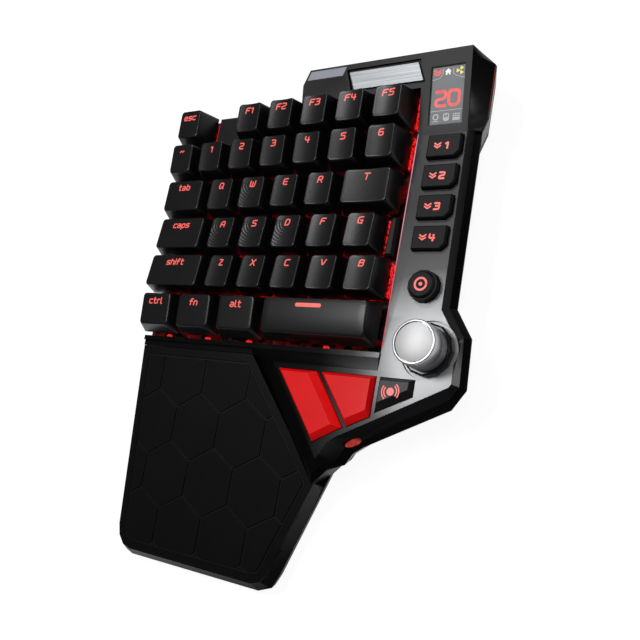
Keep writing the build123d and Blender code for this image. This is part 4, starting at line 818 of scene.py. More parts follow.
def block(low: Pair, high: Pair, thickness: float) -> Shape:
    """A rectangular plate between two opposite corners in plan."""
    (left, front), (right, back) = low, high
    return plate([(left, front), (right, front), (right, back), (left, back)], thickness)


def disc(radius: float, thickness: float, centre: Pair = (0, 0), sides: int = 32) -> Shape:
    """A flat round plate standing on zero."""
    turn = np.arange(sides) * math.tau / sides
    return plate(np.array(centre) + radius * np.stack([np.cos(turn), np.sin(turn)], -1), thickness)


def arc(radius: float, start_deg: float, end_deg: float, steps: int = 14) -> np.ndarray:
    """Points of a circular arc in plan round zero."""
    turn = np.radians(np.linspace(start_deg, end_deg, steps))
    return radius * np.stack([np.cos(turn), np.sin(turn)], -1)


def turned(degrees: float) -> np.ndarray:
    """The matrix that turns row points in plan by an angle."""
    a = math.radians(degrees)
    return np.array([[math.cos(a), math.sin(a)], [-math.sin(a), math.cos(a)]])


@dataclass
class Lettering:
    """Stroke letters in the squared, slanted manner of key legends.

    A glyph is a few lines on a grid one unit high. Corner cutting rounds them, and a flat ribbon of
    the stroke's width follows each one.
    """

    height_mm: float = 3.3
    stroke_mm: float = 0.56
    slant: float = 0.12
    gap: float = 0.3
    stretch: float = 1.12
    thickness_mm: float = 0.1

    GLYPHS = {
        "A": ([(0, 0), (0, .75), (.22, 1), (.7, 1), (.7, 0)], [(0, .42), (.7, .42)]),
        "B": ([(0, 0), (0, 1), (.6, 1), (.7, .8), (.62, .54), (.1, .54)],
              [(.6, .54), (.72, .3), (.6, 0), (0, 0)]),
        "C": ([(.7, 1), (0, 1), (0, 0), (.7, 0)],),
        "D": ([(0, 0), (0, 1), (.6, 1), (.72, .5), (.6, 0), (0, 0)],),
        "E": ([(.7, 1), (0, 1), (0, 0), (.7, 0)], [(0, .5), (.6, .5)]),
        "F": ([(0, 0), (0, 1), (.7, 1)], [(0, .52), (.55, .52)]),
        "G": ([(.7, 1), (0, 1), (0, 0), (.7, 0)], [(.7, -.08), (.7, .46)],
              [(.76, .46), (.38, .46)]),
        "Q": ([(.4, 0), (0, 0), (0, 1), (.7, 1), (.7, .25)], [(.42, .32), (.78, -.04)]),
        "R": ([(0, 0), (0, 1), (.7, 1), (.7, .45), (.05, .45)], [(.38, .45), (.72, 0)]),
        "S": ([(.7, 1), (0, 1), (0, .5), (.7, .5), (.7, 0), (0, 0)],),
        "T": ([(0, 1), (.84, 1)], [(.42, 1), (.42, 0)]),
        "V": ([(0, 1), (.36, 0), (.74, 1)],),
        "W": ([(0, 1), (0, 0), (.44, 0), (.44, .8)], [(.44, .3), (.44, 0), (.88, 0), (.88, 1)]),
        "X": ([(0, 1), (.72, 0)], [(.72, 1), (0, 0)]),
        "Z": ([(0, 1), (.7, 1), (0, 0), (.72, 0)],),
        "0": ([(.35, 1), (.76, 1), (.76, 0), (0, 0), (0, 1), (.35, 1)],),
        "1": ([(0, .78), (.3, 1), (.3, 0)],),
        "2": ([(0, 1), (.7, 1), (.7, .52), (0, .45), (0, 0), (.7, 0)],),
        "3": ([(0, 1), (.7, 1), (.66, .54), (.2, .54)], [(.6, .54), (.72, .4), (.7, 0), (0, 0)]),
        "4": ([(0, 1), (0, .42), (.74, .42)], [(.56, .9), (.56, 0)]),
        "5": ([(.7, 1), (0, 1), (0, .55), (.7, .55), (.7, 0), (0, 0)],),
        "6": ([(.62, 1), (0, 1), (0, 0), (.7, 0), (.7, .55), (.02, .55)],),
        "a": ([(.06, .7), (.6, .7), (.6, 0), (0, 0), (0, .38), (.6, .38)],),
        "b": ([(0, 1), (0, 0), (.6, 0), (.6, .7), (0, .7)],),
        "c": ([(.6, .7), (0, .7), (0, 0), (.6, 0)],),
        "e": ([(.58, 0), (0, 0), (0, .7), (.6, .7), (.6, .34), (.05, .34)],),
        "f": ([(.18, 0), (.18, 1), (.55, 1)], [(0, .62), (.48, .62)]),
        "h": ([(0, 1), (0, 0)], [(0, .7), (.6, .7), (.6, 0)]),
        "i": ([(0, 0), (0, .66)], [(0, .86), (0, 1.02)]),
        "l": ([(0, 1), (0, 0), (.22, 0)],),
        "n": ([(0, 0), (0, .7), (.6, .7), (.6, 0)],),
        "p": ([(0, -.32), (0, .7), (.6, .7), (.6, 0), (0, 0)],),
        "r": ([(0, 0), (0, .7), (.45, .7)],),
        "s": ([(.6, .7), (0, .7), (0, .36), (.6, .36), (.6, 0), (0, 0)],),
        "t": ([(.16, 1), (.16, 0), (.5, 0)], [(0, .7), (.46, .7)]),
        "~": ([(0, .34), (.14, .52), (.3, .5), (.44, .38), (.6, .36), (.72, .54)],),
    }

    def strokes(self, text: str) -> list[np.ndarray]:
        """Lay the text's strokes in a line, centred on zero and scaled to the letters' height."""
        lines, cursor = [], 0.0
        for letter in text:
            glyph = [np.array(line, float) for line in self.GLYPHS[letter]]
            width = max(line[:, 0].max() for line in glyph)
            lines += [line + (cursor, 0) for line in glyph]
            cursor += width + self.gap
        size = self.height_mm - self.stroke_mm
        shift = np.array([(cursor - self.gap) / 2, 0.5])
        wide = (size * self.stretch, size)
        placed = [(rounded_line(line) - shift) * wide for line in lines]
        return [line + np.stack([line[:, 1] * self.slant, 0 * line[:, 1]], -1) for line in placed]

    def text(self, text: str) -> Shape:
        """A flat word: every stroke as a ribbon."""
        return Shape.joined([ribbon(line, self.stroke_mm, self.thickness_mm)
                             for line in self.strokes(text)])


@dataclass
class KeyField:
    """The keys: tapered caps with dished tops, their stems, and the lit legends."""

    pitch: float = 19.05
    rim_inset: float = 0.43
    side_inset: float = 3.0
    cap_height: float = 11.7
    rim_height: float = 23.8
    wall: float = 1.25
    ceiling: float = 1.2
    dish: float = 0.7
    bow: float = 0.5
    edge: float = 0.6
    low_radius: float = 0.9
    high_radius: float = 1.7
    flank_shares: tuple = (0.35, 0.7)
    round_steps: int = 4
    corner_steps: int = 6
    edge_steps: int = 12
    top_rings: int = 9
    ripple_mm: float = 1.35
    ripple_depth: float = 0.07
    ripple_start: float = 2.6
    ripple_fade: float = 1.2
    ripple_behind: float = 1.0
    ripple_edge_steps: int = 22
    ripple_top_rings: int = 34
    stem_half: Pair = (3.3, 2.8)
    stem_radius: float = 0.3
    stem_height: float = 6.4
    post_radius: float = 2.75
    post_low: float = 24.6
    post_sunk: float = 0.5
    legend_drop: float = 3.7
    legend_rise: float = 0.05
    bar_half: Pair = (6.6, 0.85)
    bar_shift: Pair = (-2.4, 0.6)
    # Each row's keys, then the back and front height of their tops as shares of the cap's height,
    # and the back and front inset of their tops as shares of the pitch.
    rows: tuple = (
        ("esc f1 f2 f3 f4 f5", (0.98, 0.92), (0.052, 0.194)),
        ("grave 1 2 3 4 5 6", (1.0, 0.91), (0.039, 0.193)),
        ("tab q w e r t", (0.75, 0.755), (0.027, 0.159)),
        ("caps a s d f g", (0.607, 0.71), (0.043, 0.136)),
        ("shift z x c v b", (0.68, 0.795), (0.064, 0.111)),
        ("ctrl fn alt space", (0.735, 0.6), (0.106, 0.098)),
    )
    flat: tuple = ("esc", "grave", "tab", "caps", "shift", "ctrl", "fn", "alt", "space")
    rippled: tuple = ("w", "a", "s", "d")
    words: dict = field(default_factory=lambda: {"grave": "~"})
    letters: Lettering = field(default_factory=Lettering)

    def build(self) -> None:
        """Make every cap and its legend."""
        for names, tops, leans in self.rows:
            for name in names.split():
                self.cap(name, tops, leans)

    def cap(self, name: str, tops: Pair, leans: Pair) -> None:
        """Build one cap with its stem, and the legend on its top.

        The cap is a stack of rounded rectangles: up the hollow, round the rim, up the tapered
        flank, over an edge that follows a quadratic curve, and in over the top. The top's height is
        a plane less the dish, its depth times one minus the square of the distance from the middle.
        The space key has no dish and bows up between its back and front edge, by the bow times
        4 s (1 - s) at a share s of the way. A rippled top has a cosine wave round its legend.

        Args:
            name: the key.
            tops: back and front height of the top, as shares of the cap's height.
            leans: back and front inset of the top, as shares of the pitch.
        """
        low, high = node_box(f"key_{name}")
        cell_front = high[1] + self.rim_inset - self.pitch
        inset = self.side_inset - self.rim_inset
        top_low = np.array([low[0] + inset, cell_front + leans[1] * self.pitch])
        top_high = np.array([high[0] - inset, cell_front + (1 - leans[0]) * self.pitch])
        middle, half = (top_low + top_high) / 2, (top_high - top_low) / 2
        depth = 0.0 if name in self.flat else self.dish
        back, front = (self.rim_height + share * self.cap_height for share in tops)
        roof_height = min(back, front) - depth - self.ceiling
        legend_y = top_high[1] - self.legend_drop
        fine = name in self.rippled

        def surface(spot: np.ndarray) -> np.ndarray:
            """Height of the top over points in plan."""
            across = np.clip((spot[:, 0] - middle[0]) / half[0], -1, 1)
            along = (spot[:, 1] - top_low[1]) / (top_high[1] - top_low[1])
            height = front + (back - front) * along - depth * (1 - across ** 2)
            if name == "space":
                height = height + self.bow * 4 * along * (1 - along)
            if fine:
                away = np.hypot(spot[:, 0] - middle[0], spot[:, 1] - legend_y)
                fade = np.clip((away - self.ripple_start) / self.ripple_fade, 0, 1)
                fade = fade * (spot[:, 1] < legend_y + self.ripple_behind)
                wave = (np.cos(away * math.tau / self.ripple_mm) - 1) / 2
                height = height + self.ripple_depth * fade * wave
            return height

        def ring(corner: np.ndarray, other: np.ndarray, shrink: float, radius: float) -> np.ndarray:
            """A rounded rectangle between two corners, shrunk on all sides."""
            return rounded_ring(corner + shrink, other - shrink, radius, self.corner_steps,
                                self.ripple_edge_steps if fine else self.edge_steps)

        def lifted(points: np.ndarray, height: float | np.ndarray) -> np.ndarray:
            """Give a ring in plan its height."""
            return np.column_stack([points, np.broadcast_to(height, len(points))])

        hollow = ring(low[:2], high[:2], self.wall, self.low_radius)
        roof = ring(top_low, top_high, self.wall, self.high_radius)
        brow = ring(top_low, top_high, 0.0, self.high_radius)
        inner = ring(top_low, top_high, self.edge, self.high_radius)
        foot = lifted(ring(low[:2], high[:2], 0.0, self.low_radius), self.rim_height)
        crown, landing = lifted(brow, surface(brow)), lifted(inner, surface(inner))
        fall = foot - crown
        start = crown + fall * self.edge / np.linalg.norm(fall, axis=1, keepdims=True)
        rings = [lifted(roof, roof_height), lifted(hollow, self.rim_height), foot]
        rings += [foot + (start - foot) * share for share in self.flank_shares]
        rings += [start * (1 - t) ** 2 + crown * 2 * t * (1 - t) + landing * t ** 2
                  for t in np.linspace(0, 1, self.round_steps + 1)]
        count = self.ripple_top_rings if fine else self.top_rings
        for share in np.linspace(1, 0, count)[1:-1]:
            points = middle + (inner - middle) * share
            rings.append(lifted(points, surface(points)))
        made = stacked(np.stack(rings))
        made.points[-1, 2] = surface(middle[None, :])[0]
        centre = np.array([(low[0] + high[0]) / 2, cell_front + self.pitch / 2])
        stem_ring = rounded_ring(centre - self.stem_half, centre + self.stem_half, self.stem_radius,
                                 per_corner=2, per_edge=2)
        stem = plate(stem_ring, self.stem_height).moved(0, 0, low[2])
        post = disc(self.post_radius, roof_height + self.post_sunk - self.post_low, centre)
        whole = Shape.joined([made, stem, post.moved(0, 0, self.post_low)])
        piece = whole.build(f"cap_{name}", KEYCAP, f"key_{name}", "keycap")
        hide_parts(f"key_{name}")
        self.legend(name, (centre[0], legend_y), surface)

    def legend(self, name: str, place: Pair, surface: Callable[[np.ndarray], np.ndarray]) -> None:
        """Lay the key's legend on its top: a word, or a bar on the space key.

        Args:
            name: the key.
            place: the legend's middle in plan.
            surface: gives the top's height over points in plan.
        """
        thickness = self.letters.thickness_mm
        if name == "space":
            (wide, deep), (right, back) = self.bar_half, self.bar_shift
            shape = plate(rounded_ring((-wide, -deep), (wide, deep), deep, per_edge=2), thickness)
            place = (place[0] + right, place[1] + back)
        else:
            word = self.words.get(name, name if name in self.flat else name.upper())
            shape = self.letters.text(word)
        shape.points[:, :2] += place
        shape.points[:, 2] += surface(shape.points[:, :2]) + self.legend_rise - thickness / 2
        shape.build(f"legend_{name}", LEGEND, f"key_{name}", "keycap")


@dataclass
class Buttons:
    """Macro buttons, the round button, the thumb keys and the signs on them."""

    count: int = 4
    soft_edge: float = 0.35
    thumb_edge: float = 0.4
    sign_rise: float = 0.04
    sign_mm: float = 0.1
    label: Lettering = field(
        default_factory=lambda: Lettering(height_mm=3.5, stroke_mm=0.8, slant=0.08))
    chevron: tuple = ((-1.35, 0.75), (0.0, -0.15), (1.35, 0.75))
    chevron_stroke: float = 0.62
    chevron_rows: tuple = (0.45, -0.75)
    chevron_shift: Pair = (-2.6, -0.2)
    number_shift: Pair = (1.6, -0.2)
    ring_radius: float = 2.5
    ring_stroke: float = 0.85
    ring_points: int = 40
    dot_radius: float = 0.8
    wave_share: Pair = (0.44, 0.6)
    wave_dot: float = 1.6
    wave_radii: tuple = (2.8, 3.8)
    wave_sides_deg: tuple = (10, 190)
    wave_half_deg: float = 42.0
    wave_stroke: float = 0.46

    def build(self) -> None:
        """Dress the buttons and lay the signs."""
        for index in range(1, self.count + 1):
            self.macro(index)
        self.round_button()
        for node, finish in {"thumb_key_outer": RED, "thumb_key_middle": RED,
                             "thumb_key_inner": DARK}.items():
            softened(node, finish, self.thumb_edge, node)
        self.wave_sign()

    def place(self, shape: Shape, spot: Pair, top: float, name: str, body: str, slot: str) -> None:
        """Set a flat sign on a button's top."""
        lift = top + self.sign_rise - self.sign_mm / 2
        shape.moved(*spot, lift).build(name, LEGEND, body, slot)

    def macro(self, index: int) -> None:
        """One macro button: a double chevron and its number."""
        node = f"macro_button_{index}"
        softened(node, MACRO, self.soft_edge, node)
        low, high = node_box(node)
        middle = ((low + high) / 2)[:2]
        chevrons = Shape.joined([
            ribbon(np.array(self.chevron) + (0, lift), self.chevron_stroke, self.sign_mm)
            for lift in self.chevron_rows])
        number = self.label.text(str(index))
        self.place(chevrons, middle + self.chevron_shift, high[2], f"chevrons_{index}", node,
                   "macro_black")
        self.place(number, middle + self.number_shift, high[2], f"number_{index}", node, "macro_black")

    def round_button(self) -> None:
        """The round button: a plain ring with a dot in it."""
        softened("mode_button", MACRO, self.soft_edge, "mode_button")
        low, high = node_box("mode_button")
        ring = ribbon(arc(self.ring_radius, 0, 360, self.ring_points), self.ring_stroke, self.sign_mm)
        sign = Shape.joined([ring, disc(self.dot_radius, self.sign_mm)])
        self.place(sign, ((low + high) / 2)[:2], high[2], "round_sign", "mode_button", "macro_black")

    def wave_sign(self) -> None:
        """The black thumb key: a plain disc with two arcs on each side, for feedback."""
        low, high = node_box("thumb_key_inner")
        spot = low[:2] + (high - low)[:2] * self.wave_share
        waves = [ribbon(arc(radius, side - self.wave_half_deg, side + self.wave_half_deg),
                        self.wave_stroke, self.sign_mm)
                 for radius in self.wave_radii for side in self.wave_sides_deg]
        sign = Shape.joined([disc(self.wave_dot, self.sign_mm), *waves])
        self.place(sign, spot, high[2], "wave_sign", "thumb_key_inner", "thumb_black")


@dataclass
class Knob:
    """The turned metal knob: spun disc, bright rim, smooth side, knurled band and faceted collar.

    A profile is a table of insets from the radius and drops from the top, from the bottom up.
    """

    radius: float = 9.1
    top: float = 36.0
    sides: int = 96
    rim_round: float = 0.6
    rim_steps: int = 4
    rim_low: float = 2.6
    disc: tuple = ((1.3, 1.6), (1.3, 0.42), (1.5, 0.3))
    rim_inside: tuple = ((0.95, 0.0), (1.1, 0.15), (1.15, 0.9))
    side: tuple = ((0.05, 6.8), (0.0, 6.7), (0.0, 2.7), (0.25, 2.65))
    band: tuple = ((0.3, 11.8), (-0.05, 11.4), (-0.05, 7.3), (0.3, 6.9))
    collar: tuple = ((0.3, 3.2), (0.0, 2.9), (0.0, 0.7), (0.8, 0.0))
    collar_radius: float = 10.9
    collar_top: float = 24.2
    collar_sides: int = 12
    collar_crease_deg: float = 10.0

    def build(self) -> None:
        """Make the knob's pieces round the node's own middle."""
        made = self.turned("knob_disc", self.disc, SPUN)
        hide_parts("knob")
        turn = np.linspace(0, math.pi / 2, self.rim_steps + 1)
        outer = self.rim_round * (1 - np.stack([np.cos(turn), np.sin(turn)], -1))
        self.turned("knob_rim", ((0.0, self.rim_low), *outer.tolist(), *self.rim_inside), RING)
        self.turned("knob_side", self.side, SIDE)
        self.turned("knob_knurl", self.band, KNURL)
        line = self.profile(self.collar, self.collar_radius, self.collar_top)
        collar = lathed(line, self.centre(), self.collar_sides)
        collar.build("knob_collar", COLLAR, Body.KNOB.value, "knob_metal", self.collar_crease_deg)

    def centre(self) -> Pair:
        """The middle of the node in plan."""
        low, high = node_box("knob")
        return (low[0] + high[0]) / 2, (low[1] + high[1]) / 2

    def profile(self, table: tuple, radius: float, top: float) -> list[Pair]:
        """Turn insets and drops into radii and heights, closed to the axis at both ends."""
        line = [(radius - inset, top - drop) for inset, drop in table]
        return [(AXIS_GAP, line[0][1]), *line, (AXIS_GAP, line[-1][1])]

    def turned(self, name: str, table: tuple, finish: Finish) -> bpy.types.Object:
        """Turn one profile and build it on the knob."""
        shape = lathed(self.profile(table, self.radius, self.top), self.centre(), self.sides)
        return shape.build(name, finish, Body.KNOB.value, "knob_metal")


@dataclass
class PalmPad:
    """The rubber pad of the palm rest, with hexagon tiles between thin grooves.

    Every tile is a hexagon clipped to the pad's outline, set in by half a groove, and carried up
    from the groove's floor over a small bevel.
    """

    pitch: float = 26.8
    corner: float = 15.9
    first: Pair = (-72.3, -55.3)
    row_lean: float = -1.6
    rows: tuple[int, int] = (-3, 4)
    columns: tuple[int, int] = (-2, 7)
    groove: float = 0.66
    depth: float = 0.35
    bevel: float = 0.25
    border: float = 0.2
    border_groove: float = 0.4
    body_depth: float = 2.0
    body_round: float = 0.15
    body_rise: float = 0.1
    floor_width: float = 6.0
    face_drop: float = 0.3
    face_rise: float = 0.15
    tile_sunk: float = 0.1
    shoulder_share: float = 0.4
    shoulder_rise: float = 0.09
    holding_ring: float = 0.2
    least_area: float = 4.0
    least_edge: float = 0.05
    crease_deg: float = 20.0

    def build(self) -> None:
        """Make the pad's body and its tiles."""
        outline, height = self.outline()
        rise, border = self.body_rise, self.border
        levels = ((0.0, -self.body_depth), (0.0, -rise), (self.body_round, rise), (border, rise),
                  (border + self.border_groove / 2, -self.depth),
                  (border + self.floor_width, -self.depth))
        made = self.raised(outline, height, levels).build(
            "pad_body", GROOVE_PAINTED_LIGHT, Body.CASE.value, "pad_rubber", self.crease_deg)
        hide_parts("palm_pad")
        inner = inset_polygon(outline, border + self.border_groove)
        pieces = [self.clipped(hexagon, inner) for hexagon in self.hexagons()]
        tiles = [self.tile(piece, height) for piece in pieces
                 if len(piece) > 2 and self.area(piece) >= self.least_area]
        Shape.joined(tiles).build("pad_tiles", PAD, Body.CASE.value, "pad_rubber", self.crease_deg)

    def outline(self) -> tuple[np.ndarray, np.ndarray]:
        """The pad's plan, counterclockwise, and the height of its face as a plane in plan.

        Returns:
            The corners, and the plane's three factors for one, x and y.
        """
        points = node_points("palm_pad")
        plan, owner = np.unique(points[:, :2].round(2), axis=0, return_inverse=True)
        tops = np.full(len(plan), -np.inf)
        np.maximum.at(tops, owner.ravel(), points[:, 2])
        away = plan - plan.mean(0)
        order = np.argsort(np.arctan2(away[:, 1], away[:, 0]))
        known = np.column_stack([np.ones(len(plan)), plan])
        plane = np.linalg.lstsq(known, tops - self.face_drop, rcond=None)[0]
        return plan[order], plane

    def hexagons(self) -> list[np.ndarray]:
        """Hexagons over the pad: rows one and a half corners apart, each shifted half a pitch.

        Their corners are a pitch over the root of three out across the row, so that neighbours
        touch, and each is sheared by the row's lean.
        """
        turn = np.radians(90 + 60 * np.arange(6))
        wide, step = self.pitch / math.sqrt(3), self.corner * 1.5
        one = np.stack([np.cos(turn) * wide, np.sin(turn) * self.corner], -1)
        one[:, 0] -= one[:, 1] * self.row_lean / step
        return [one + (self.first[0] + (column + row % 2 / 2) * self.pitch + row * self.row_lean,
                       self.first[1] - row * step)
                for row in range(*self.rows) for column in range(*self.columns)]

    def clipped(self, polygon: np.ndarray, outline: np.ndarray) -> np.ndarray:
        """Cut a polygon to a convex outline, one edge after another."""
        for a, b in zip(outline, np.roll(outline, -1, 0)):
            edge = b - a
            side = edge[0] * (polygon[:, 1] - a[1]) - edge[1] * (polygon[:, 0] - a[0])
            other = np.roll(side, -1)
            crossing = side * other < 0
            share = np.where(crossing, side / np.where(crossing, side - other, 1), 0)
            cut = polygon + (np.roll(polygon, -1, 0) - polygon) * share[:, None]
            both = np.stack([polygon, cut], 1).reshape(-1, 2)
            polygon = both[np.stack([side >= 0, crossing], 1).ravel()]
            if len(polygon) < 3:
                break
        return polygon

    def area(self, polygon: np.ndarray) -> float:
        """Area of a polygon by the shoelace sum."""
        x, y = polygon.T
        return abs(np.dot(x, np.roll(y, -1)) - np.dot(y, np.roll(x, -1))) / 2

    def raised(self, outline: np.ndarray, height: np.ndarray, levels: tuple) -> Shape:
        """Stack insets of an outline over the pad's face.

        Args:
            outline: the corners in plan.
            height: the face's three factors.
            levels: how far each ring is set in, and its height over the face.
        Returns:
            The closed shape.
        """
        rings = [(inset_polygon(outline, inset), lift) for inset, lift in levels]
        return stacked(np.stack([np.column_stack([ring, height[0] + ring @ height[1:] + lift])
                                 for ring, lift in rings]))

    def tile(self, polygon: np.ndarray, height: np.ndarray) -> Shape:
        """One tile, from the groove's floor over the bevel to its flat face."""
        keep = np.linalg.norm(polygon - np.roll(polygon, 1, 0), axis=1) > self.least_edge
        half, bevel, face = self.groove / 2, self.bevel, self.face_rise
        levels = ((half, -self.depth - self.tile_sunk), (half, face - bevel),
                  (half + bevel * self.shoulder_share, self.shoulder_rise),
                  (half + bevel, face), (half + bevel + self.holding_ring, face))
        return self.raised(polygon[keep], height, levels)


@dataclass
class Display:
    """The small display: its clear window, the lit field under it and the pictograms."""

    tilt_deg: float = 11.3
    clearance: float = 0.05
    film: float = 0.04
    sign_lift: float = 0.05
    border: float = 0.35
    chevron_stroke: float = 0.75
    ring_stroke: float = 0.45
    ring_radius: float = 1.15
    mouse_stroke: float = 0.42
    fine_stroke: float = 0.3
    rule_stroke: float = 0.22
    blade_turns_deg: tuple = (60, 180, 300)
    board_left: float = -1.65
    board_step: float = 0.85
    board_key: Pair = (0.6, 0.55)
    board_columns: int = 4
    board_rows: int = 2
    digits: Lettering = field(
        default_factory=lambda: Lettering(height_mm=7.6, stroke_mm=1.35, slant=0.0, gap=0.24,
                                          stretch=1.0, thickness_mm=0.04))
    # The window's underside: its middle, its two directions and half its width and length.
    middle: np.ndarray = field(init=False)
    up: np.ndarray = field(init=False)
    along: np.ndarray = field(init=False)
    half: Pair = field(init=False)

    CHEVRON = ((-1.6, 0.8), (0.0, 0.0), (1.6, 0.8))
    ROOF = ((-1.5, 0.0), (1.5, 0.0), (0.0, 1.4))
    WALLS = (((-1.05, -1.4), (-0.35, 0.0)), ((0.35, -1.4), (1.05, 0.0)), ((-0.35, -0.6), (0.35, 0.0)))
    BLADE = ((0.35, -0.3), (1.7, -0.85), (1.7, 0.85), (0.35, 0.3))
    MOUSE = ((0.0, 1.5), (1.2, 1.3), (1.2, -1.2), (0.0, -1.6), (-1.2, -1.2), (-1.2, 1.3), (0.0, 1.5))
    MOUSE_LOW = ((-0.9, -1.2), (0.9, -0.1))
    WHEEL = ((0.0, 0.3), (0.0, 1.2))
    UNDERLINE = ((-1.3, -1.9), (1.3, -1.9))
    BOARD_BAR = ((-1.7, -1.6), (1.6, -0.3))
    # Places, as the method spot takes them.
    CHEVRONS_AT = ((-1, 2.7, 1, -2.4), (-1, 2.7, 1, -3.6))
    HOUSE_AT = (0, -0.3, 1, -2.5)
    BLADES_AT = (1, -2.5, 1, -2.6)
    NUMBER_AT = (0, 0.2, 0, -1.3)
    RING_AT = (-1, 3.0, -1, 3.6)
    MOUSE_AT = (0, 0.1, -1, 3.3)
    BOARD_AT = (1, -2.9, -1, 3.2)
    RULES = (((-1, 0.4, 1, -5.6), (-1, 3.4, 1, -5.1), (0, -2.7, 1, -3.7), (0, -2.5, 1, -1.2)),
             ((1, -0.4, 1, -6.0), (1, -4.2, 1, -4.6), (0, 2.2, 1, -3.6), (0, 2.2, 1, -1.2)),
             ((-1, 0.6, -1, 6.2), (1, -0.6, -1, 6.2)))

    def build(self) -> None:
        """Make the field and the signs on the window's underside."""
        dress("display_module", MODULE)
        dress("display_window", WINDOW)
        points = node_points("display_window")
        slope = math.radians(self.tilt_deg)
        self.up = np.array([0, -math.sin(slope), math.cos(slope)])
        self.along = np.array([0, math.cos(slope), math.sin(slope)])
        under = points[np.argsort(points @ self.up)[:4]]
        middle = (points.min(0) + points.max(0)) / 2
        self.middle = middle + self.up * ((under @ self.up).mean() - middle @ self.up)
        self.half = (np.ptp(points[:, 0]) / 2 - self.clearance,
                     np.ptp(points @ self.along) / 2 - self.clearance)
        width, length = self.half
        self.show(block((-width, -length), (width, length), self.film), "display_field", SCREEN, 0.0)
        for name, finish, shape in self.signs():
            self.show(shape, name, finish, self.sign_lift)
        inner_width, inner_length = width - self.border, length - self.border
        bars = [block((-width, -length), (width, -inner_length), self.film),
                block((-width, inner_length), (width, length), self.film),
                block((-width, -inner_length), (-inner_width, inner_length), self.film),
                block((inner_width, -inner_length), (width, inner_length), self.film)]
        self.show(Shape.joined(bars), "display_border", MODULE, self.sign_lift)

    def show(self, shape: Shape, name: str, finish: Finish, lift: float) -> None:
        """Lay a flat shape on the field: x across, y up the slope."""
        x, y, z = shape.points.T
        shape.points = (self.middle + np.outer(x, (1, 0, 0)) + np.outer(y, self.along)
                        + np.outer(z + lift, self.up))
        shape.build(name, finish, Body.CASE.value, "window_clear")

    def spot(self, side: int, right: float, end: int, back: float) -> Pair:
        """A place on the field.

        Args:
            side: -1 at the left edge, 0 in the middle, 1 at the right edge.
            right: millimetres to the right of that.
            end: -1 at the front edge, 0 in the middle, 1 at the back edge.
            back: millimetres behind that.
        Returns:
            The place, from the field's middle.
        """
        width, length = self.half
        return side * width + right, end * length + back

    def signs(self) -> list[tuple[str, Finish, Shape]]:
        """The pictograms: chevrons, house, three blades, a number, lines and three small signs."""
        arrow = ribbon(self.CHEVRON, self.chevron_stroke, self.film)
        arrows = [arrow.moved(*self.spot(*place), 0) for place in self.CHEVRONS_AT]
        house = [plate(self.ROOF, self.film), *(block(*wall, self.film) for wall in self.WALLS)]
        blades = [plate(np.array(self.BLADE) @ turned(angle), self.film)
                  for angle in self.blade_turns_deg]
        rules = [ribbon([self.spot(*place) for place in line], self.rule_stroke, self.film)
                 for line in self.RULES]
        small = [self.ring_sign().moved(*self.spot(*self.RING_AT), 0),
                 self.mouse_sign().moved(*self.spot(*self.MOUSE_AT), 0),
                 self.board_sign().moved(*self.spot(*self.BOARD_AT), 0)]
        return [("display_chevrons", SCREEN_RED, Shape.joined(arrows)),
                ("display_house", SCREEN_WHITE,
                 Shape.joined(house).moved(*self.spot(*self.HOUSE_AT), 0)),
                ("display_blades", SCREEN_YELLOW,
                 Shape.joined(blades).moved(*self.spot(*self.BLADES_AT), 0)),
                ("display_number", SCREEN_RED,
                 self.digits.text("20").moved(*self.spot(*self.NUMBER_AT), 0)),
                ("display_rules", SCREEN_PALE, Shape.joined(rules)),
                ("display_small_signs", SCREEN_PALE, Shape.joined(small))]

    def ring_sign(self) -> Shape:
        """A ring over a short line."""
        return Shape.joined([ribbon(arc(self.ring_radius, 0, 360), self.ring_stroke, self.film),
                             ribbon(self.UNDERLINE, self.fine_stroke, self.film)])

    def mouse_sign(self) -> Shape:
        """A computer mouse: its outline, its filled lower half and its wheel."""
        outline = ribbon(rounded_line(np.array(self.MOUSE)), self.mouse_stroke, self.film)
        return Shape.joined([outline, block(*self.MOUSE_LOW, self.film),
                             ribbon(self.WHEEL, self.fine_stroke, self.film)])

    def board_sign(self) -> Shape:
        """A keyboard: rows of keys over a bar."""
        (wide, deep), step = self.board_key, self.board_step
        keys = [block((x * step + self.board_left, y * step),
                      (x * step + self.board_left + wide, y * step + deep), self.film)
                for x in range(self.board_columns) for y in range(self.board_rows)]
        return Shape.joined([*keys, block(*self.BOARD_BAR, self.film)])


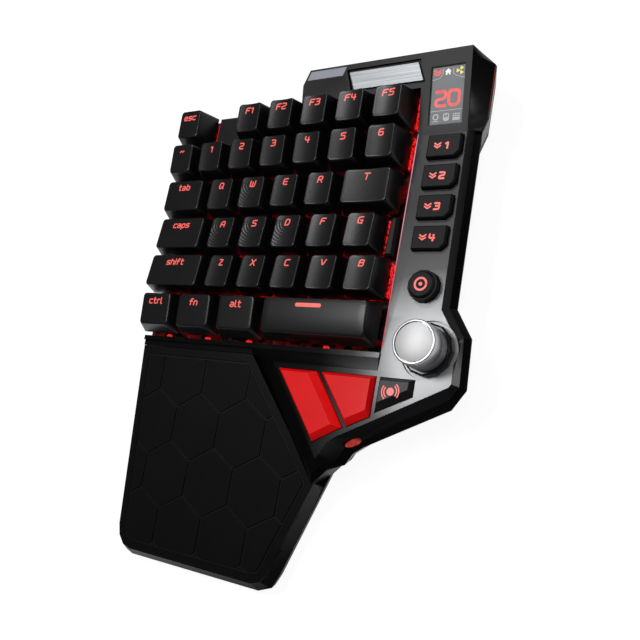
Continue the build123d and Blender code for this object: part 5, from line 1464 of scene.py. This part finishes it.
@dataclass
class Glow:
    """Red light round the keys: housings with a painted glow, bars of painted light in the gaps,
    and lamps before the front row.
    """

    bar_keys: tuple = ("esc", "f5", "6", "g", "b")
    bar_width: float = 0.7
    bar_gap: float = 0.08
    bar_margin: float = 1.6
    bar_round: float = 0.3
    bar_low: float = 17.8
    bar_high: float = 22.6
    lamp_x: tuple = (-73.3, -48.2, -23.0, 19.6)
    lamp_y: float = -12.9
    lamp_radius: float = 1.5
    lamp_height: float = 1.6
    lamp_squash: float = 0.55
    lamp_sides: int = 24
    # A lens's profile from its foot to its crown, as shares of its radius and height.
    lamp_shares: tuple = ((0.02, -0.1), (1.0, -0.1), (0.95, 0.35), (0.8, 0.7), (0.5, 0.95), (0.02, 1.05))
    rib_x: tuple = (-61.3, -35.4, -9.6)
    rib_y: float = -13.6
    # A rib's plan round its place, wider at the front.
    rib_plan: tuple = ((-0.4, -0.6), (0.4, -0.6), (0.25, 0.5), (-0.25, 0.5))
    rib_height: float = 2.4
    strip_x: Pair = (40.0, 60.0)
    strip_front: float = -40.0
    line_width: float = 0.4
    line_inset: float = 0.05
    line_rise: float = 0.6
    line_height: float = 0.12

    def build(self) -> None:
        """Make the lit pieces."""
        # The housings and the switch plate get a painted red glow from their finishes.
        dress("switch_housings", HOUSING)
        dress("switch_plate", PLATE)
        # Painted light: bars that glow in the gaps beside the keys.
        bars = Shape.joined([self.bar(f"key_{name}") for name in self.bar_keys])
        bars.build("gap_light_bars", GAP_GLOW_PAINTED, Body.CASE.value, "light_guide")
        profile = [(share * self.lamp_radius, rise * self.lamp_height)
                   for share, rise in self.lamp_shares]
        lamp = lathed(profile, (0, 0), self.lamp_sides)
        lamp.points[:, 1] *= self.lamp_squash
        lamps = Shape.joined([lamp.moved(x, self.lamp_y, self.bar_low) for x in self.lamp_x])
        lamps.build("front_lamp_lenses", LENS_LIT, Body.CASE.value, "light_guide")
        rib = plate(self.rib_plan, self.rib_height)
        ribs = Shape.joined([rib.moved(x, self.rib_y, self.bar_low) for x in self.rib_x])
        ribs.build("lip_ribs", PALM, Body.CASE.value, "case_black")
        self.deck_edge()

    def deck_edge(self) -> None:
        """A thin line of light that lies on the deck's edge above the strip beside the keys."""
        points = node_points("light_guides")
        inside = (points[:, 0] > self.strip_x[0]) & (points[:, 0] < self.strip_x[1])
        strip = points[inside & (points[:, 1] > self.strip_front)]
        (left, front, _), (_, back, top) = strip.min(0), strip.max(0)
        left += self.line_inset
        line = block((left, front), (left + self.line_width, back), self.line_height)
        line.moved(0, 0, top + self.line_rise).build("deck_edge_light", DECK_LIT, Body.CASE.value,
                                                     "light_guide")

    def bar(self, node: str) -> Shape:
        """One bar of painted light standing in the gap at a key's right side."""
        low, high = node_box(node)
        left = high[0] + self.bar_gap
        ring = rounded_ring((left, low[1] + self.bar_margin),
                            (left + self.bar_width, high[1] - self.bar_margin), self.bar_round,
                            per_corner=3, per_edge=8)
        return plate(ring, self.bar_high - self.bar_low).moved(0, 0, self.bar_low)


@dataclass
class Case:
    """The mouldings of the case, and the small parts that stay as they are."""

    edge: float = 0.3
    palm_edge: float = 0.5
    guide_edge: float = 0.12
    oval_behind: float = -40.0
    flank_right: float = 70.0
    strip_right: float = 40.0

    def build(self) -> None:
        """Soften the mouldings and dress the rest."""
        for node, finish, width in (
                ("top_frame", CaseFinish(), self.edge), ("palm_rest_shell", PALM, self.palm_edge),
                ("bottom_shell", UNDER, self.edge), ("badge_plate", BADGE, self.edge),
                ("rubber_feet", FEET, self.edge)):
            softened(node, finish, width, Body.CASE.value)
        for node, finish in {"circuit_boards": BOARD, "tact_switches": SWITCH,
                             "encoder_body": ENCODER, "usb_socket": STEEL, "case_screws": SCREW}.items():
            dress(node, finish)
        self.light_guides()

    def light_guides(self) -> None:
        """Soften the light guides and give each of the four its own finish, by where it lies."""
        piece = softened("light_guides", WINDOW_GREY, self.guide_edge, Body.CASE.value)
        for finish in (STRIP_LIT, FLANK_LIT, OVAL_LIT):
            piece.data.materials.append(finish_of(finish))
        faces = piece.data.polygons
        centres = np.zeros(len(faces) * 3)
        faces.foreach_get("center", centres)
        x, y, _ = centres.reshape(-1, 3).T / MM
        chosen = np.select([y < self.oval_behind, x > self.flank_right, x > self.strip_right],
                           [3, 2, 1], 0)
        faces.foreach_set("material_index", chosen.astype(np.int32))


@dataclass
class Studio:
    """Floor, lights, world and camera."""

    camera_mm: tuple = (202.437, -68.769, 296.236)
    forward: tuple = (-0.550438, 0.198327, -0.810978)
    right: tuple = (0.83373, 0.181458, -0.521504)
    focal_px: float = 780.33
    frame_px: float = 640.0
    sensor_mm: float = 36.0
    nearest_m: float = 0.01
    floor_m: float = 6.0
    floor_grey: str = "#f2f2f2"
    floor_white: float = 1.1
    floor_share: float = 0.85
    white: str = "#ffffff"
    fill: float = 0.16
    # Each lamp's name, its place and aim in millimetres, its side in millimetres and its watts.
    lamps: tuple = (
        ("softbox", (-180, 57, 600), (10, 10, 20), 155, 1.4),
        ("lamp_back", (-175, 420, 600), (10, 10, 20), 170, 1.5),
        ("lamp_right", (275, 105, 600), (40, 10, 20), 110, 0.8),
    )

    def build(self) -> None:
        """Make everything that isn't the keypad."""
        self.camera()
        self.floor()
        self.world()
        for lamp in self.lamps:
            self.lamp(*lamp)
        bpy.context.scene.view_settings.view_transform = "Standard"

    def camera(self) -> None:
        """A camera at the photograph's place, whose axes are its right, its up and its back."""
        data = bpy.data.cameras.new("camera")
        data.sensor_width = self.sensor_mm
        data.lens = self.focal_px * self.sensor_mm / self.frame_px
        data.clip_start = self.nearest_m
        made = placed("camera", data)
        right, forward = Vector(self.right).normalized(), Vector(self.forward).normalized()
        up = right.cross(forward)
        turn = Matrix((right, up, -forward)).transposed()
        made.matrix_world = Matrix.Translation(Vector(self.camera_mm) * MM) @ turn.to_4x4()
        bpy.context.scene.camera = made

    def floor(self) -> None:
        """A floor that looks white to the camera and in reflections, and keeps a soft shadow."""
        mesh = bpy.data.meshes.new("floor")
        size = self.floor_m
        corners = [(-size, -size, 0), (size, -size, 0), (size, size, 0), (-size, size, 0)]
        mesh.from_pydata(corners, [], [(0, 1, 2, 3)])
        made, tree = new_material("studio_floor")
        path = add_node(tree, "ShaderNodeLightPath").outputs
        seen = add_node(tree, "ShaderNodeMath", {"operation": "MAXIMUM"},
                        {0: path["Is Camera Ray"], 1: path["Is Glossy Ray"]})
        seen = add_node(tree, "ShaderNodeMath", {"operation": "MAXIMUM"},
                        {0: seen, 1: path["Is Transmission Ray"]})
        share = add_node(tree, "ShaderNodeMath", {"operation": "MULTIPLY", 1: self.floor_share},
                         {0: seen})
        matt = add_node(tree, "ShaderNodeBsdfDiffuse", {"Color": srgb(self.floor_grey)})
        lit = add_node(tree, "ShaderNodeEmission",
                       {"Color": srgb(self.white), "Strength": self.floor_white})
        mix = add_node(tree, "ShaderNodeMixShader", {}, {0: share, 1: matt, 2: lit})
        mesh.materials.append(surfaced(made, mix))
        floor = placed("floor", mesh)

    def world(self) -> None:
        """Even, weak light from all round, behind a white backdrop for rays that see it directly."""
        world = bpy.data.worlds.new("studio")
        world.use_nodes = True
        tree = world.node_tree
        tree.nodes.clear()
        path = add_node(tree, "ShaderNodeLightPath").outputs
        seen = add_node(tree, "ShaderNodeMath", {"operation": "MAXIMUM"},
                        {0: path["Is Camera Ray"], 1: path["Is Transmission Ray"]})
        level = add_node(tree, "ShaderNodeMapRange", {"To Min": self.fill, "To Max": 1.0},
                         {"Value": seen})
        fill = add_node(tree, "ShaderNodeBackground", {"Color": srgb(self.white)}, {"Strength": level})
        add_node(tree, "ShaderNodeOutputWorld", {"is_active_output": True}, {"Surface": fill})
        bpy.context.scene.world = world

    def lamp(self, name: str, place: tuple, aim: tuple, size: float, power: float) -> None:
        """A square soft light.

        Args:
            name: its name.
            place: where it stands, in millimetres.
            aim: what it points at.
            size: its side, in millimetres.
            power: in watts.
        """
        data = bpy.data.lights.new(name, "AREA")
        data.size = size * MM
        data.energy = power
        made = placed(name, data)
        made.location = Vector(place) * MM
        made.rotation_euler = (Vector(aim) - Vector(place)).to_track_quat("-Z", "Y").to_euler()


def main() -> None:
    """Build the classes in order."""
    logging.basicConfig(level=logging.INFO, format="%(name)s: %(message)s")
    for part in (Studio(), Case(), KeyField(), Buttons(), Knob(), PalmPad(), Display(), Glow()):
        LOG.info("start %s", type(part).__name__)
        part.build()


if __name__ == "__main__":
    main()
